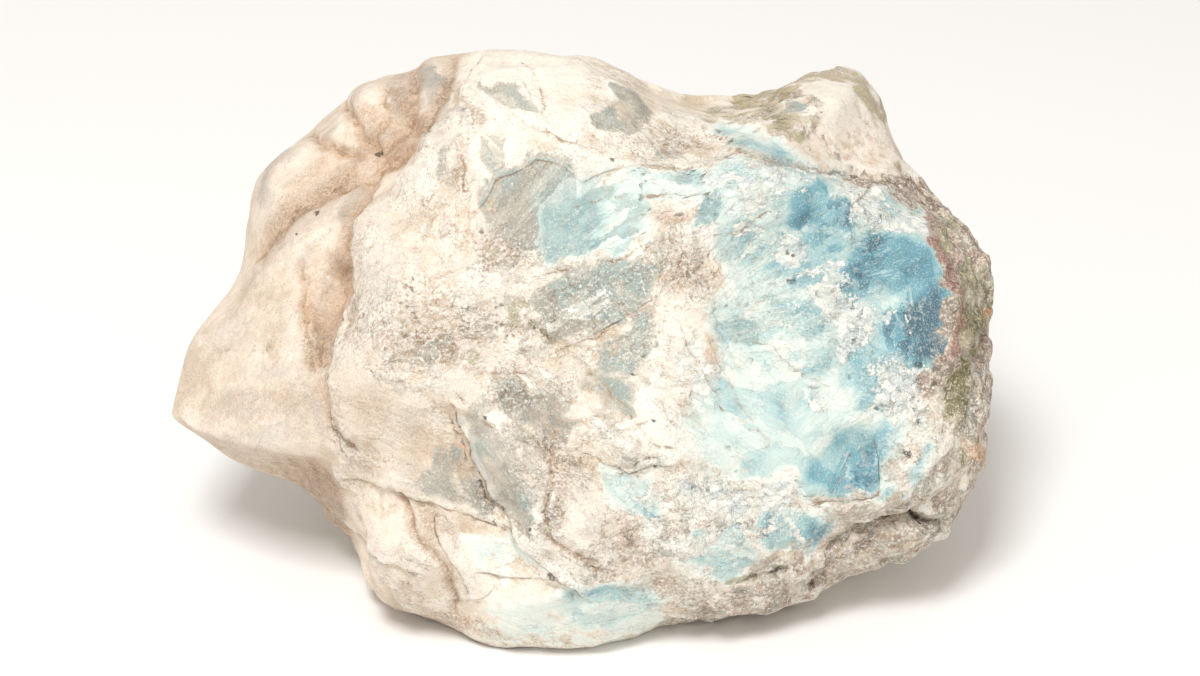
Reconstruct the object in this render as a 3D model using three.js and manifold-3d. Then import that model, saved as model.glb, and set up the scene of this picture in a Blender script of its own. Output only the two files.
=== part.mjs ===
// A raw lump of larimar, one solid stone: a broad broken face that leans back, a smooth worn wing on the left
// with a groove beside it, a low hump behind the upper right, and a rough volcanic rind round the right end.
// Millimetres, +Z up, origin under the middle of the stone, at the level it rests on.
import * as THREE from "three";
import { mergeVertices } from "three/addons/utils/BufferGeometryUtils.js";
import { ImprovedNoise } from "three/addons/math/ImprovedNoise.js";
import Module from "manifold-3d";

// Driving dimensions.
const faceLean = THREE.MathUtils.degToRad(30); // how far the broken face leans back from upright
const faceRise = 11; // how far the middle of the face stands in front of the rim's zero level
const backDepth = 40; // how far the back stands behind that level
const restDrop = 36.6; // the resting flat, below the middle of the face
const meshDetail = 19; // 20 * (detail + 1)^2 triangles
const frontCrowding = 0.2; // share by which the mesh is drawn towards the face
const faceFineness = 0.5; // how much closer together the mesh stays there
const spreadRounds = 60;

// The rim as seen square to the broken face: across, up, and how far it stands towards the viewer.
// It runs from the nose on the left, clockwise over the top.
const rim = [
  [-57.7, -11.6, -10.5], [-55.6, -3.6, -11], [-52, 3.8, -15], [-47.9, 8.1, -20], // the nose and its slope
  [-48.1, 17.4, -27], [-45.9, 25, -29], [-40.3, 29.8, -29], [-35.6, 34.3, -28], // the worn shoulder
  [-29.4, 37.6, -24], [-22.7, 39.3, -20], [-17.1, 40.5, -16], [-10.4, 41.5, -14], // the knobs up to the crown
  [-2.6, 39.5, -14], [4.3, 38.4, -15], [10.8, 36.6, -18], [17.3, 35.7, -23], // the crown down to the saddle
  [24.6, 36.6, -28], [31.9, 39, -31], [38.3, 40.1, -31], [41.8, 38.2, -29], // the hump behind
  [43, 33.4, -27], [45.7, 26.6, -23], [47.4, 22.3, -19], [52, 17.8, -15], // the hump's end and the rind's top
  [56.3, 11.7, -12], [56.8, 2.2, -10], [56.9, -7.4, -9], [55.2, -15.5, -9], // the rind, down the right end
  [52.2, -21.3, -8], [51.4, -27.8, -8], [43.2, -29.5, -10], [36.8, -31.4, -12], // the lip at the lower right
  [31.6, -35.2, -10], [22.5, -37.6, -8], [13.7, -37.6, -7], [5.5, -39.6, -6], // the foot under the blue
  [-2.5, -40.3, -5], [-10.4, -41.1, -6], [-15.9, -39.2, -8], [-21.3, -36.5, -10], // the lowest edge
  [-27.6, -34.9, -9], [-32.9, -32.2, -10], [-33.2, -27.7, -12], [-36.6, -26.4, -14], // the heel of the flakes
  [-35.5, -21.9, -14], [-41.4, -19.9, -13], [-48.9, -15.7, -11], // the nose's underside
];

// Swellings and hollows of the face: where, half sizes, turn in degrees, and rise towards the viewer.
const swellings = [
  { name: "bowl of blue", at: [31, 3], size: [17, 15], turn: 10, rise: -5.5 },
  { name: "slate hollow", at: [34.5, -15.5], size: [6.5, 4.5], turn: 20, rise: -3.2 },
  { name: "crust below the hollow", at: [43, -18.5], size: [10, 4], turn: 32, rise: 3 },
  { name: "rind lip", at: [42, -27], size: [7.5, 2.6], turn: 10, rise: 2.6 },
  { name: "shelter under the crust", at: [42, -23.8], size: [6, 2.6], turn: 14, rise: -1.8 },
  { name: "right rim of the bowl", at: [48, 8], size: [4, 12], turn: 14, rise: 2.6 },
  { name: "upper edge of the blue", at: [35, 19.5], size: [14, 5], turn: -6, rise: 5 },
  { name: "gap behind the blue", at: [33, 27.8], size: [12, 3], turn: -8, rise: -2.4 },
  { name: "front of the hump", at: [36, 34], size: [7, 4], turn: -10, rise: 2.4 },
  { name: "white boss", at: [-13, 29], size: [10, 8], turn: -20, rise: 4.6 },
  { name: "crown shoulder", at: [4, 29], size: [8, 6], turn: -20, rise: 3 },
  { name: "brown hollow", at: [-31, 24.5], size: [9, 5.2], turn: 42, rise: -7 },
  { name: "knob by the hollow", at: [-27.5, 32], size: [5, 3.2], turn: 48, rise: 3 },
  { name: "shoulder knob", at: [-37.5, 26], size: [5.5, 3], turn: 36, rise: 3 },
  { name: "wing crest", at: [-38.5, 14.5], size: [10, 3], turn: 42, rise: 4 },
  { name: "gully over the crest", at: [-42, 17], size: [9, 2], turn: 44, rise: -3.4 },
  { name: "wing", at: [-43, -6], size: [11, 9], turn: -14, rise: 4 },
  { name: "groove beside the wing", at: [-33, 6], size: [3.4, 15], turn: 7, rise: -4 },
  { name: "step of the face", at: [-26, 8], size: [4.4, 15], turn: 6, rise: 1.6 },
  { name: "middle of the face", at: [-14, 2], size: [12, 12], turn: 0, rise: 2 },
  { name: "round boss", at: [2.8, -23], size: [5.6, 4.6], turn: -20, rise: 4 },
  { name: "fold", at: [10, -12.5], size: [6, 3.4], turn: -42, rise: 3 },
  { name: "dip beside the fold", at: [4, -15.5], size: [5, 2.4], turn: -60, rise: -2 },
  { name: "long grey flake", at: [-8.5, -18], size: [3.4, 11], turn: 32, rise: 2.8 },
  { name: "dip under the flake", at: [-15.5, -17.5], size: [3.4, 8], turn: 38, rise: -1.4 },
  { name: "heel flake", at: [-21, -28], size: [7, 6.5], turn: -30, rise: 4 },
  { name: "foot flake", at: [-6, -33], size: [11, 4], turn: -16, rise: 4 },
  { name: "foot under the blue", at: [17, -29], size: [11, 4], turn: 8, rise: 1.6 },
];

// Ledges of the face. The side to the left of each line, walking along it, drops by so much and climbs back
// to the face over the reach.
const ledges = [
  {
    name: "edge of the face over the groove",
    line: [[-33, -17], [-31.6, -6], [-30.6, 4], [-30, 14], [-26.5, 23], [-21, 31], [-17, 37]],
    drop: 3,
    reach: 7,
  },
  {
    name: "edge of the blue under the hump",
    line: [[14, 32.5], [23, 29], [30, 25.4], [36, 24], [41, 24]],
    drop: 3,
    reach: 14,
  },
  {
    name: "edge of the long flake",
    line: [[-1.5, -33.5], [-8, -27], [-13, -19], [-16.5, -11.5]],
    drop: 2.4,
    reach: 6,
  },
  {
    name: "edge over the heel",
    line: [[-6, -30.5], [-14, -23.5], [-22, -20.6], [-30, -18.6]],
    drop: 2.6,
    reach: 7,
  },
  { name: "split of the heel", line: [[-14.5, -36], [-17, -29], [-23, -22]], drop: 1.6, reach: 4 },
  { name: "middle crack", line: [[16, -16], [8, -9], [0, -2.5], [-8, 4]], drop: 1.6, reach: 6 },
  {
    name: "edge over the rind",
    line: [[52, -12], [43, -21], [36, -23.4], [26, -27], [12, -30]],
    drop: 2,
    reach: 6,
  },
];

// Broken planes that square off the back, the ends and the underside: outward direction in the face's own
// axes (across, up, towards the viewer) and distance from its middle. One with a side acts left of it only.
const breaks = [
  { name: "wing", out: [-0.52, 0.02, 0.85], at: 21.4, side: -33 },
  { name: "under the nose", out: [-0.4, -0.87, 0.3], at: 30.6, side: -32 },
  { name: "long back", out: [0.08, -0.12, -1], at: 47 },
  { name: "back, left", out: [-0.62, 0.1, -0.78], at: 52 },
  { name: "back, right", out: [0.66, -0.1, -0.75], at: 54 },
  { name: "back, upper", out: [-0.05, 0.6, -0.8], at: 51 },
  { name: "right underside", out: [0.62, -0.66, -0.42], at: 53 },
  { name: "left underside", out: [-0.6, -0.62, -0.5], at: 46.5 },
];
const breakEdge = 1.6; // how softly a broken plane meets the rest, mm

// Chips: flat facets struck off all over, in full on the back, lightly on the face and barely on the rim.
const chips = { count: 170, depth: [0.3, 1.5], reach: 13, tilt: 0.22, onFace: 0.3, onRim: 0.06 };

const easing = { rounds: 1, share: 0.3 }; // of the mesh, before the chips
const ironing = { rounds: 8, share: 0.5, sharpest: 0.35 }; // of folds, after them

// Lumps of the surface, largest first: spacing and height in millimetres.
const lumps = [
  { spacing: 21, height: 1 },
  { spacing: 9, height: 0.66 },
  { spacing: 4.6, height: 0.19 },
];

const noise = new ImprovedNoise();
const smoothstep = THREE.MathUtils.smoothstep;

const rimCurve = new THREE.CatmullRomCurve3(rim.map((p) => new THREE.Vector3(...p)), true, "centripetal");
const rimTable = rimCurve.getPoints(1400).map((p) => ({ angle: Math.atan2(p.y, p.x), point: p }));
rimTable.sort((a, b) => a.angle - b.angle);

// The rim's point in a direction round the face.
function rimAt(angle) {
  let low = 0;
  let high = rimTable.length - 1;
  if (angle <= rimTable[low].angle || angle >= rimTable[high].angle) return rimTable[low].point;
  while (high - low > 1) {
    const middle = (low + high) >> 1;
    if (rimTable[middle].angle <= angle) low = middle;
    else high = middle;
  }
  const share = (angle - rimTable[low].angle) / (rimTable[high].angle - rimTable[low].angle);
  return rimTable[low].point.clone().lerp(rimTable[high].point, share);
}

// The plain pillow between rim, face and back, for a direction on the unit sphere.
function pillow(direction) {
  const flat = Math.hypot(direction.x, direction.y);
  const front = direction.z > 0;
  const squareness = front ? 3.4 : 2.5;
  const scale = (flat ** squareness + Math.abs(direction.z) ** squareness) ** (-1 / squareness);
  const out = flat * scale;
  const height = direction.z * scale;
  const edge = rimAt(Math.atan2(direction.y, direction.x));
  const z = edge.z * out ** 4 + height * (front ? faceRise : backDepth);
  return { point: new THREE.Vector3(edge.x * out, edge.y * out, z), height };
}

function swell(x, y, { at, size, turn, rise }) {
  const angle = THREE.MathUtils.degToRad(turn);
  const dx = x - at[0];
  const dy = y - at[1];
  const along = (dx * Math.cos(angle) + dy * Math.sin(angle)) / size[0];
  const across = (dy * Math.cos(angle) - dx * Math.sin(angle)) / size[1];
  return rise * Math.exp(-(along * along + across * across));
}

// Distance to a line of points, positive to its left, and how far past either end the nearest point lies.
function besideLine(x, y, line) {
  let nearest = { distance: Infinity, past: 0 };
  for (let i = 0; i + 1 < line.length; i++) {
    const [ax, ay] = line[i];
    const [bx, by] = line[i + 1];
    const length = Math.hypot(bx - ax, by - ay);
    const along = ((x - ax) * (bx - ax) + (y - ay) * (by - ay)) / length;
    const side = ((bx - ax) * (y - ay) - (by - ay) * (x - ax)) / length;
    const kept = THREE.MathUtils.clamp(along, 0, length);
    const gap = Math.hypot(side, along - kept);
    if (gap < Math.abs(nearest.distance)) {
      const isEnd = (i === 0 && along < 0) || (i + 2 === line.length && along > length);
      nearest = { distance: gap * (Math.sign(side) || 1), past: isEnd ? Math.abs(along - kept) : 0 };
    }
  }
  return nearest;
}

function ledgeDrop(x, y, { line, drop, reach }) {
  const edgeWidth = 3;
  const fadePastEnd = 3;
  const { distance, past } = besideLine(x, y, line);
  const cliff = smoothstep(distance, -edgeWidth / 2, edgeWidth / 2);
  const climb = Math.exp(-Math.max(distance, 0) / reach);
  return drop * cliff * climb * Math.exp(-((past / fadePastEnd) ** 2));
}

// Presses a point back on to a plane, softly near the plane's edge.
function pressTo(point, { out, at, side = Infinity }) {
  const normal = new THREE.Vector3(...out).normalize();
  const over = point.dot(normal) - at;
  const pressed = breakEdge * Math.log1p(Math.exp(over / breakEdge));
  const share = side === Infinity ? 1 : 1 - smoothstep(point.x, side - 2, side + 2);
  point.addScaledVector(normal, -pressed * share);
}

function shapedPoint(direction) {
  const { point, height } = pillow(direction);
  const facing = smoothstep(height, 0.02, 0.4);
  let lift = 0;
  for (const each of swellings) lift += swell(point.x, point.y, each);
  for (const each of ledges) lift -= ledgeDrop(point.x, point.y, each);
  point.z += lift * facing;
  for (const each of breaks) pressTo(point, each);
  const backing = smoothstep(-height, 0.15, 0.6);
  const chipShare = chips.onRim + (chips.onFace - chips.onRim) * facing + (1 - chips.onRim) * backing;
  return { point, facing, chipShare };
}

function vertexNormals(geometry) {
  geometry.computeVertexNormals();
  return geometry.getAttribute("normal");
}

function addLumps(geometry) {
  const position = geometry.getAttribute("position");
  const normal = vertexNormals(geometry);
  for (let i = 0; i < position.count; i++) {
    const p = new THREE.Vector3().fromBufferAttribute(position, i);
    const n = new THREE.Vector3().fromBufferAttribute(normal, i);
    let lift = 0;
    for (const { spacing, height } of lumps) {
      const wave = noise.noise(p.x / spacing + 7.3, p.y / spacing + 1.9, p.z / spacing + 4.1);
      lift += height * (3 * Math.abs(wave) - 0.8); // creased between lumps
    }
    p.addScaledVector(n, lift);
    position.setXYZ(i, p.x, p.y, p.z);
  }
}

// Strikes chips off: each takes away what stands above a slightly sunk and tilted plane, out to its reach.
function chip(geometry, chipShares) {
  const position = geometry.getAttribute("position");
  const normal = vertexNormals(geometry);
  const goldenTurn = Math.PI * (3 - Math.sqrt(5));
  const wander = (i, k) => 1.6 * noise.noise(i * 0.73 + 0.31, 2.7 + 3.9 * k, 9.1);
  const struck = Array.from({ length: chips.count }, (_, i) => {
    const z = 1 - (2 * (i + 0.5)) / chips.count;
    const angle = i * goldenTurn + wander(i, 0);
    const flat = Math.sqrt(1 - z * z);
    const aim = new THREE.Vector3(flat * Math.cos(angle), flat * Math.sin(angle), z);
    const { point, normal: out } = nearestSurface(position, normal, pillow(aim).point);
    const tilt = new THREE.Vector3(wander(i, 1), wander(i, 2), wander(i, 3));
    out.addScaledVector(tilt, chips.tilt).normalize();
    return { point, out, depth: THREE.MathUtils.mapLinear(wander(i, 4), -1, 1, ...chips.depth) };
  });
  const p = new THREE.Vector3();
  for (const { point, out, depth } of struck) {
    for (let i = 0; i < position.count; i++) {
      p.fromBufferAttribute(position, i);
      const gap = p.distanceTo(point);
      if (gap > chips.reach) continue;
      const over = p.clone().sub(point).dot(out) + depth;
      if (over <= 0) continue;
      const near = 1 - smoothstep(gap, chips.reach * 0.6, chips.reach);
      p.addScaledVector(out, -over * near * chipShares[i]);
      position.setXYZ(i, p.x, p.y, p.z);
    }
  }
}

function nearestSurface(position, normal, target) {
  let best = 0;
  let least = Infinity;
  const p = new THREE.Vector3();
  for (let i = 0; i < position.count; i++) {
    const d = p.fromBufferAttribute(position, i).distanceToSquared(target);
    if (d < least) [least, best] = [d, i];
  }
  return {
    point: new THREE.Vector3().fromBufferAttribute(position, best),
    normal: new THREE.Vector3().fromBufferAttribute(normal, best),
  };
}

// Directions over the unit sphere, drawn towards the face.
function crowdedDirections(position) {
  const directions = [];
  for (let i = 0; i < position.count; i++) {
    const direction = new THREE.Vector3().fromBufferAttribute(position, i);
    const z = direction.z + frontCrowding * (1 - direction.z ** 2);
    const flat = Math.hypot(direction.x, direction.y) || 1;
    const ring = Math.sqrt(Math.max(0, 1 - z * z)) / flat;
    directions.push(direction.set(direction.x * ring, direction.y * ring, z));
  }
  return directions;
}

function neighboursOf(geometry) {
  const corners = geometry.index.array;
  const neighbours = Array.from({ length: geometry.getAttribute("position").count }, () => new Set());
  for (let i = 0; i < corners.length; i += 3) {
    for (let k = 0; k < 3; k++) {
      neighbours[corners[i + k]].add(corners[i + ((k + 1) % 3)]);
      neighbours[corners[i + k]].add(corners[i + ((k + 2) % 3)]);
    }
  }
  return neighbours;
}

// Moves each direction towards its neighbours, the ones far off on the shape counting most, so that no part
// of the surface is left with long triangles.
function spreadEvenly(directions, neighbours) {
  let spread = directions;
  for (let round = 0; round < spreadRounds; round++) {
    const shaped = spread.map(shapedPoint);
    spread = spread.map((direction, i) => {
      const pull = new THREE.Vector3();
      let total = 0;
      for (const j of neighbours[i]) {
        const weight = shaped[i].point.distanceTo(shaped[j].point) * (1 + faceFineness * shaped[j].facing);
        pull.addScaledVector(spread[j], weight);
        total += weight;
      }
      return pull.divideScalar(total).lerp(direction, 0.4).normalize();
    });
  }
  return spread;
}

// Moves the points picked by isMoved towards the middle of their neighbours.
function ease(geometry, neighbours, share, isMoved) {
  const position = geometry.getAttribute("position");
  const before = neighbours.map((_, i) => new THREE.Vector3().fromBufferAttribute(position, i));
  neighbours.forEach((near, i) => {
    if (!isMoved(i)) return;
    const middle = new THREE.Vector3();
    for (const j of near) middle.addScaledVector(before[j], 1 / near.size);
    const eased = before[i].clone().lerp(middle, share);
    position.setXYZ(i, eased.x, eased.y, eased.z);
  });
}

// Points where a triangle stands almost square to the surface round it, and the points beside them.
function foldedPoints(geometry, neighbours) {
  const corners = geometry.index.array;
  const position = geometry.getAttribute("position");
  const normal = vertexNormals(geometry);
  const folded = new Set();
  const triangle = new THREE.Triangle();
  const flat = new THREE.Vector3();
  const n = new THREE.Vector3();
  for (let i = 0; i < corners.length; i += 3) {
    triangle.setFromAttributeAndIndices(position, corners[i], corners[i + 1], corners[i + 2]);
    triangle.getNormal(flat);
    for (let k = 0; k < 3; k++) {
      const corner = corners[i + k];
      if (flat.dot(n.fromBufferAttribute(normal, corner)) < ironing.sharpest) folded.add(corner);
    }
  }
  for (const i of [...folded]) neighbours[i].forEach((j) => folded.add(j));
  return folded;
}

function ironFolds(geometry, neighbours) {
  for (let round = 0; round < ironing.rounds; round++) {
    const folded = foldedPoints(geometry, neighbours);
    ease(geometry, neighbours, ironing.share, (i) => folded.has(i));
  }
}

// The stone in the face's own axes: x across, y up the face, z towards the viewer.
function stoneSurface() {
  const raw = new THREE.IcosahedronGeometry(1, meshDetail);
  raw.deleteAttribute("normal");
  raw.deleteAttribute("uv");
  const geometry = mergeVertices(raw, 1e-5);
  const position = geometry.getAttribute("position");
  const neighbours = neighboursOf(geometry);
  const directions = spreadEvenly(crowdedDirections(position), neighbours);
  const chipShares = directions.map((direction, i) => {
    const { point, chipShare } = shapedPoint(direction);
    position.setXYZ(i, point.x, point.y, point.z);
    return chipShare;
  });
  addLumps(geometry);
  for (let round = 0; round < easing.rounds; round++) ease(geometry, neighbours, easing.share, () => true);
  chip(geometry, chipShares);
  ironFolds(geometry, neighbours);
  return geometry;
}

// Leans the face back, so that up the face becomes up and back, and its front looks forward and up.
function leanBack(geometry) {
  const across = new THREE.Vector3(1, 0, 0);
  const upFace = new THREE.Vector3(0, Math.sin(faceLean), Math.cos(faceLean));
  const outOfFace = new THREE.Vector3(0, -Math.cos(faceLean), Math.sin(faceLean));
  geometry.applyMatrix4(new THREE.Matrix4().makeBasis(across, upFace, outOfFace));
  geometry.translate(0, 0, restDrop);
}

function toSolid(wasm, geometry) {
  const vertProperties = new Float32Array(geometry.getAttribute("position").array);
  const triVerts = new Uint32Array(geometry.index.array);
  return new wasm.Manifold(new wasm.Mesh({ numProp: 3, vertProperties, triVerts }));
}

function toGeometry(solid) {
  const mesh = solid.getMesh();
  const geometry = new THREE.BufferGeometry();
  geometry.setAttribute("position", new THREE.BufferAttribute(mesh.vertProperties, 3));
  geometry.setIndex(new THREE.BufferAttribute(mesh.triVerts, 1));
  return geometry;
}

// The flat that the stone rests on: everything below the resting level is taken off.
function cutRestingFlat(wasm, geometry) {
  const blockSize = 400;
  const block = new THREE.BoxGeometry(blockSize, blockSize, blockSize);
  block.deleteAttribute("normal");
  block.deleteAttribute("uv");
  block.translate(0, 0, -blockSize / 2);
  return toGeometry(toSolid(wasm, geometry).subtract(toSolid(wasm, mergeVertices(block))));
}

function centreOverOrigin(geometry) {
  geometry.computeBoundingBox();
  const { min, max } = geometry.boundingBox;
  geometry.translate(-(min.x + max.x) / 2, -(min.y + max.y) / 2, -min.z);
}

const wasm = await Module();
wasm.setup();

const surface = stoneSurface();
leanBack(surface);
const stone = cutRestingFlat(wasm, surface);
centreOverOrigin(stone);
stone.computeVertexNormals();

const paleStone = new THREE.MeshStandardMaterial({ color: 0xd9dfd6, roughness: 0.6, metalness: 0 });
const larimar = new THREE.Mesh(stone, paleStone);
larimar.name = "larimar";

const part = new THREE.Group();
part.add(larimar);

export default part;
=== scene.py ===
import itertools
import math

import bpy
import numpy as np
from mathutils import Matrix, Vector, noise


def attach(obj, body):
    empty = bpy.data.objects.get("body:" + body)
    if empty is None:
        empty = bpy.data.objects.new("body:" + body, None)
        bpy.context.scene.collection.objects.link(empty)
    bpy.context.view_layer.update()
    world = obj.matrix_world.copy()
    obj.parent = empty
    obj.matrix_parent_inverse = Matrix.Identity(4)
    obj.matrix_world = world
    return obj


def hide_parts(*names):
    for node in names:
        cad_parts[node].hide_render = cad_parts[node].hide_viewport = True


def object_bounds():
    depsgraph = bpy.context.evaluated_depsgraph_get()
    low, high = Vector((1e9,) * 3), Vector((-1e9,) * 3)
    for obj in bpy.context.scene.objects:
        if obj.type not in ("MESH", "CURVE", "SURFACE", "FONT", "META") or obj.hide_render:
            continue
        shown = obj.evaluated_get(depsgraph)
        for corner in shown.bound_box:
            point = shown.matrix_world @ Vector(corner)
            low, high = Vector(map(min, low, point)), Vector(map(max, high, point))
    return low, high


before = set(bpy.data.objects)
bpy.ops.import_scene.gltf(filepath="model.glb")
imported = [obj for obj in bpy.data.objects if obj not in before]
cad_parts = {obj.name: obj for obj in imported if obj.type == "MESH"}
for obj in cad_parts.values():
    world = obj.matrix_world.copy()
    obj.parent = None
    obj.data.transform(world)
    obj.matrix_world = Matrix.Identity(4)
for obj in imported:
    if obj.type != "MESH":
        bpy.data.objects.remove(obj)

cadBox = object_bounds()
low, high = Vector(cadBox[0]), Vector(cadBox[1])

# The broken face leans back. Places on it are in millimetres about its middle: across, and up the face.
face = {
    "stoneWidth": 112,  # mm, the whole stone
    "lean": 30,  # degrees
    "across": -0.3,  # mm from the middle of the box to the middle of the face
    "back": -14.2,
    "up": 36.6,  # mm above the resting flat
}
mm = (high.x - low.x) / face["stoneWidth"]  # one millimetre of this stone, so that everything keeps its scale
lean = math.radians(face["lean"])
across = Vector((1, 0, 0))
upFace = Vector((0, math.sin(lean), math.cos(lean)))
outOfFace = Vector((0, -math.cos(lean), math.sin(lean)))
middle = Vector((
    (low.x + high.x) / 2 + face["across"] * mm,
    (low.y + high.y) / 2 + face["back"] * mm,
    low.z + face["up"] * mm,
))

# The stone's mesh, finer than the solid.
stoneMesh = {
    "levels": 2,  # rounds of subdivision
    "weld": 0.00001,  # metres
    "shrinkBack": 0.12,  # mm kept free below the solid's own skin
}


def fineCopy(node):
    piece = bpy.data.objects.new("larimarStone", node.data.copy())
    bpy.context.scene.collection.objects.link(piece)
    bpy.context.view_layer.objects.active = piece
    weld = piece.modifiers.new("weld", "WELD")
    weld.merge_threshold = stoneMesh["weld"]
    subdivide = piece.modifiers.new("subdivide", "SUBSURF")
    subdivide.levels = stoneMesh["levels"]
    bpy.ops.object.select_all(action="DESELECT")
    piece.select_set(True)
    for modifier in (weld, subdivide):
        bpy.ops.object.modifier_apply(modifier=modifier.name)
    return piece


def readPoints(field):
    values = np.empty(count * 3)
    mesh.vertices.foreach_get(field, values)
    return values.reshape(-1, 3)


stone = fineCopy(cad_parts["larimar"])
mesh = stone.data
count = len(mesh.vertices)
places = readPoints("co")
normals = readPoints("normal")
print("stone mesh:", count, "points,", len(mesh.polygons), "faces")

spots = (places - np.array(middle)) / mm  # millimetres about the middle of the face
u = spots @ np.array(across)
v = spots @ np.array(upFace)
depth = spots @ np.array(outOfFace)
facing = normals @ np.array(outOfFace)


def ramp(value, start, end):
    t = np.clip((value - start) / (end - start), 0, 1)
    return t * t * (3 - 2 * t)


front = ramp(facing, -0.4, -0.02)  # what the front of the stone shows


def waves(spacing, seed=0.0, octaves=1):
    total, size = np.zeros(count), 1.0
    for octave in range(octaves):
        finer = spots / (spacing / 2 ** octave)
        total += size * np.array([noise.noise(Vector(p)) for p in finer + seed + 13.7 * octave])
        size *= 0.5
    return total


def randomOf(cells, seed, many):
    # the same few numbers between 0 and 1 for a cell on every run, from a small hash
    key = (cells * np.array([73856093, 19349663, 83492791])).sum(axis=1) + seed * 7919
    key = key.astype(np.uint64)
    drawn = np.empty((len(key), many))
    for i in range(many):
        key = ((key ^ (key >> np.uint64(15))) * np.uint64(2246822519)) & np.uint64(0xFFFFFFFF)
        key ^= key >> np.uint64(13)
        drawn[:, i] = (key & np.uint64(0xFFFF)) / 65535
    return drawn


def scoops(where, spacing, seed, slope, lift, hollow):
    # Shallow bowls, each at its own slant. The lowest of them counts, so a sharp ridge runs between neighbours.
    scaled = where / np.array(spacing)
    home = np.floor(scaled).astype(np.int64)
    lowest = np.full(len(where), 1e9)
    for shift in itertools.product((-1, 0, 1), repeat=3):
        cell = home + np.array(shift)
        drawn = randomOf(cell, seed, 7)
        gap = scaled - (cell + drawn[:, :3])
        slant = ((drawn[:, 4:] * 2 - 1) * gap).sum(axis=1)
        bowl = lift * (drawn[:, 3] * 2 - 1) + slope * slant + hollow * (gap ** 2).sum(axis=1)
        lowest = np.minimum(lowest, bowl)
    return lowest


# How far the drawn outlines wander, in mm.
wandering = {"wideSpacing": 6, "wide": 2.6, "closeSpacing": 2.6, "close": 1.5, "jag": 0.55}
print("noise fields")
drift = np.stack([waves(wandering["closeSpacing"], seed, 2) for seed in (3.1, 21.7, 47.3)], axis=1)
bendAcross = wandering["wide"] * waves(wandering["wideSpacing"], 8.2)
bendUp = wandering["wide"] * waves(wandering["wideSpacing"], 31.4)
warpAcross = bendAcross + wandering["close"] * drift[:, 0]
warpUp = bendUp + wandering["close"] * drift[:, 1]
jagAcross, jagUp = wandering["jag"] * drift[:, 2], wandering["jag"] * drift[:, 0]


def besideLine(line, warp=0.12):
    # how far a point lies beside a line (left of it is positive), and how far past its ends
    x, y = u + warp * warpAcross + jagAcross, v + warp * warpUp + jagUp
    best = np.full(count, 1e9)
    signed = np.zeros(count)
    past = np.zeros(count)
    last = len(line) - 2
    for i in range(len(line) - 1):
        (ax, ay), (bx, by) = line[i], line[i + 1]
        length = math.hypot(bx - ax, by - ay)
        along = ((x - ax) * (bx - ax) + (y - ay) * (by - ay)) / length
        side = ((bx - ax) * (y - ay) - (by - ay) * (x - ax)) / length
        over = along - np.clip(along, 0, length)
        gap = np.hypot(side, over)
        nearer = gap < best
        best = np.where(nearer, gap, best)
        isEnd = ((along < 0) & (i == 0)) | ((along > length) & (i == last))
        signed = np.where(nearer, np.where(isEnd, side, np.where(side < 0, -gap, gap)), signed)
        past = np.where(nearer, np.where(isEnd, np.abs(over), 0), past)
    return signed, past


def fieldMask(outlines, warp=0.7):
    # a little over half of its strength on a field's outline, and all of it a little way inside
    x, y = u + warp * warpAcross, v + warp * warpUp
    mask = np.zeros(count)
    for outline, strength, soft in outlines:
        gap = np.full(count, 1e9)
        inside = np.zeros(count, dtype=bool)
        for (ax, ay), (bx, by) in zip(outline, outline[1:] + outline[:1]):
            along = ((x - ax) * (bx - ax) + (y - ay) * (by - ay)) / ((bx - ax) ** 2 + (by - ay) ** 2)
            along = np.clip(along, 0, 1)
            gap = np.minimum(gap, np.hypot(x - ax - along * (bx - ax), y - ay - along * (by - ay)))
            if ay != by:
                inside ^= ((ay > y) != (by > y)) & (x < (bx - ax) * (y - ay) / (by - ay) + ax)
        mask = np.maximum(mask, strength * np.clip(0.6 + np.where(inside, gap, -gap) / soft, 0, 1))
    return mask * front


def ovalDistance(x, y, oval):
    # 1 on the oval itself
    ovalAcross, ovalUp, halfWidth, halfHeight, turn = oval
    c, s = math.cos(math.radians(turn)), math.sin(math.radians(turn))
    dx, dy = x - ovalAcross, y - ovalUp
    return np.hypot((dx * c + dy * s) / halfWidth, (dy * c - dx * s) / halfHeight)


def patchMask(patches, warp=0.7):
    x, y = u + warp * warpAcross, v + warp * warpUp
    mask = np.zeros(count)
    for *oval, strength in patches:
        mask = np.maximum(mask, strength * np.clip(1.5 - ovalDistance(x, y, oval), 0, 1))
    return mask * front


def lineMask(line, halfWidth, warp):
    signed, past = besideLine(line, warp)
    return np.clip(1.5 - np.abs(signed) / halfWidth, 0, 1) * ramp(-past, -2, 0) * front


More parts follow.
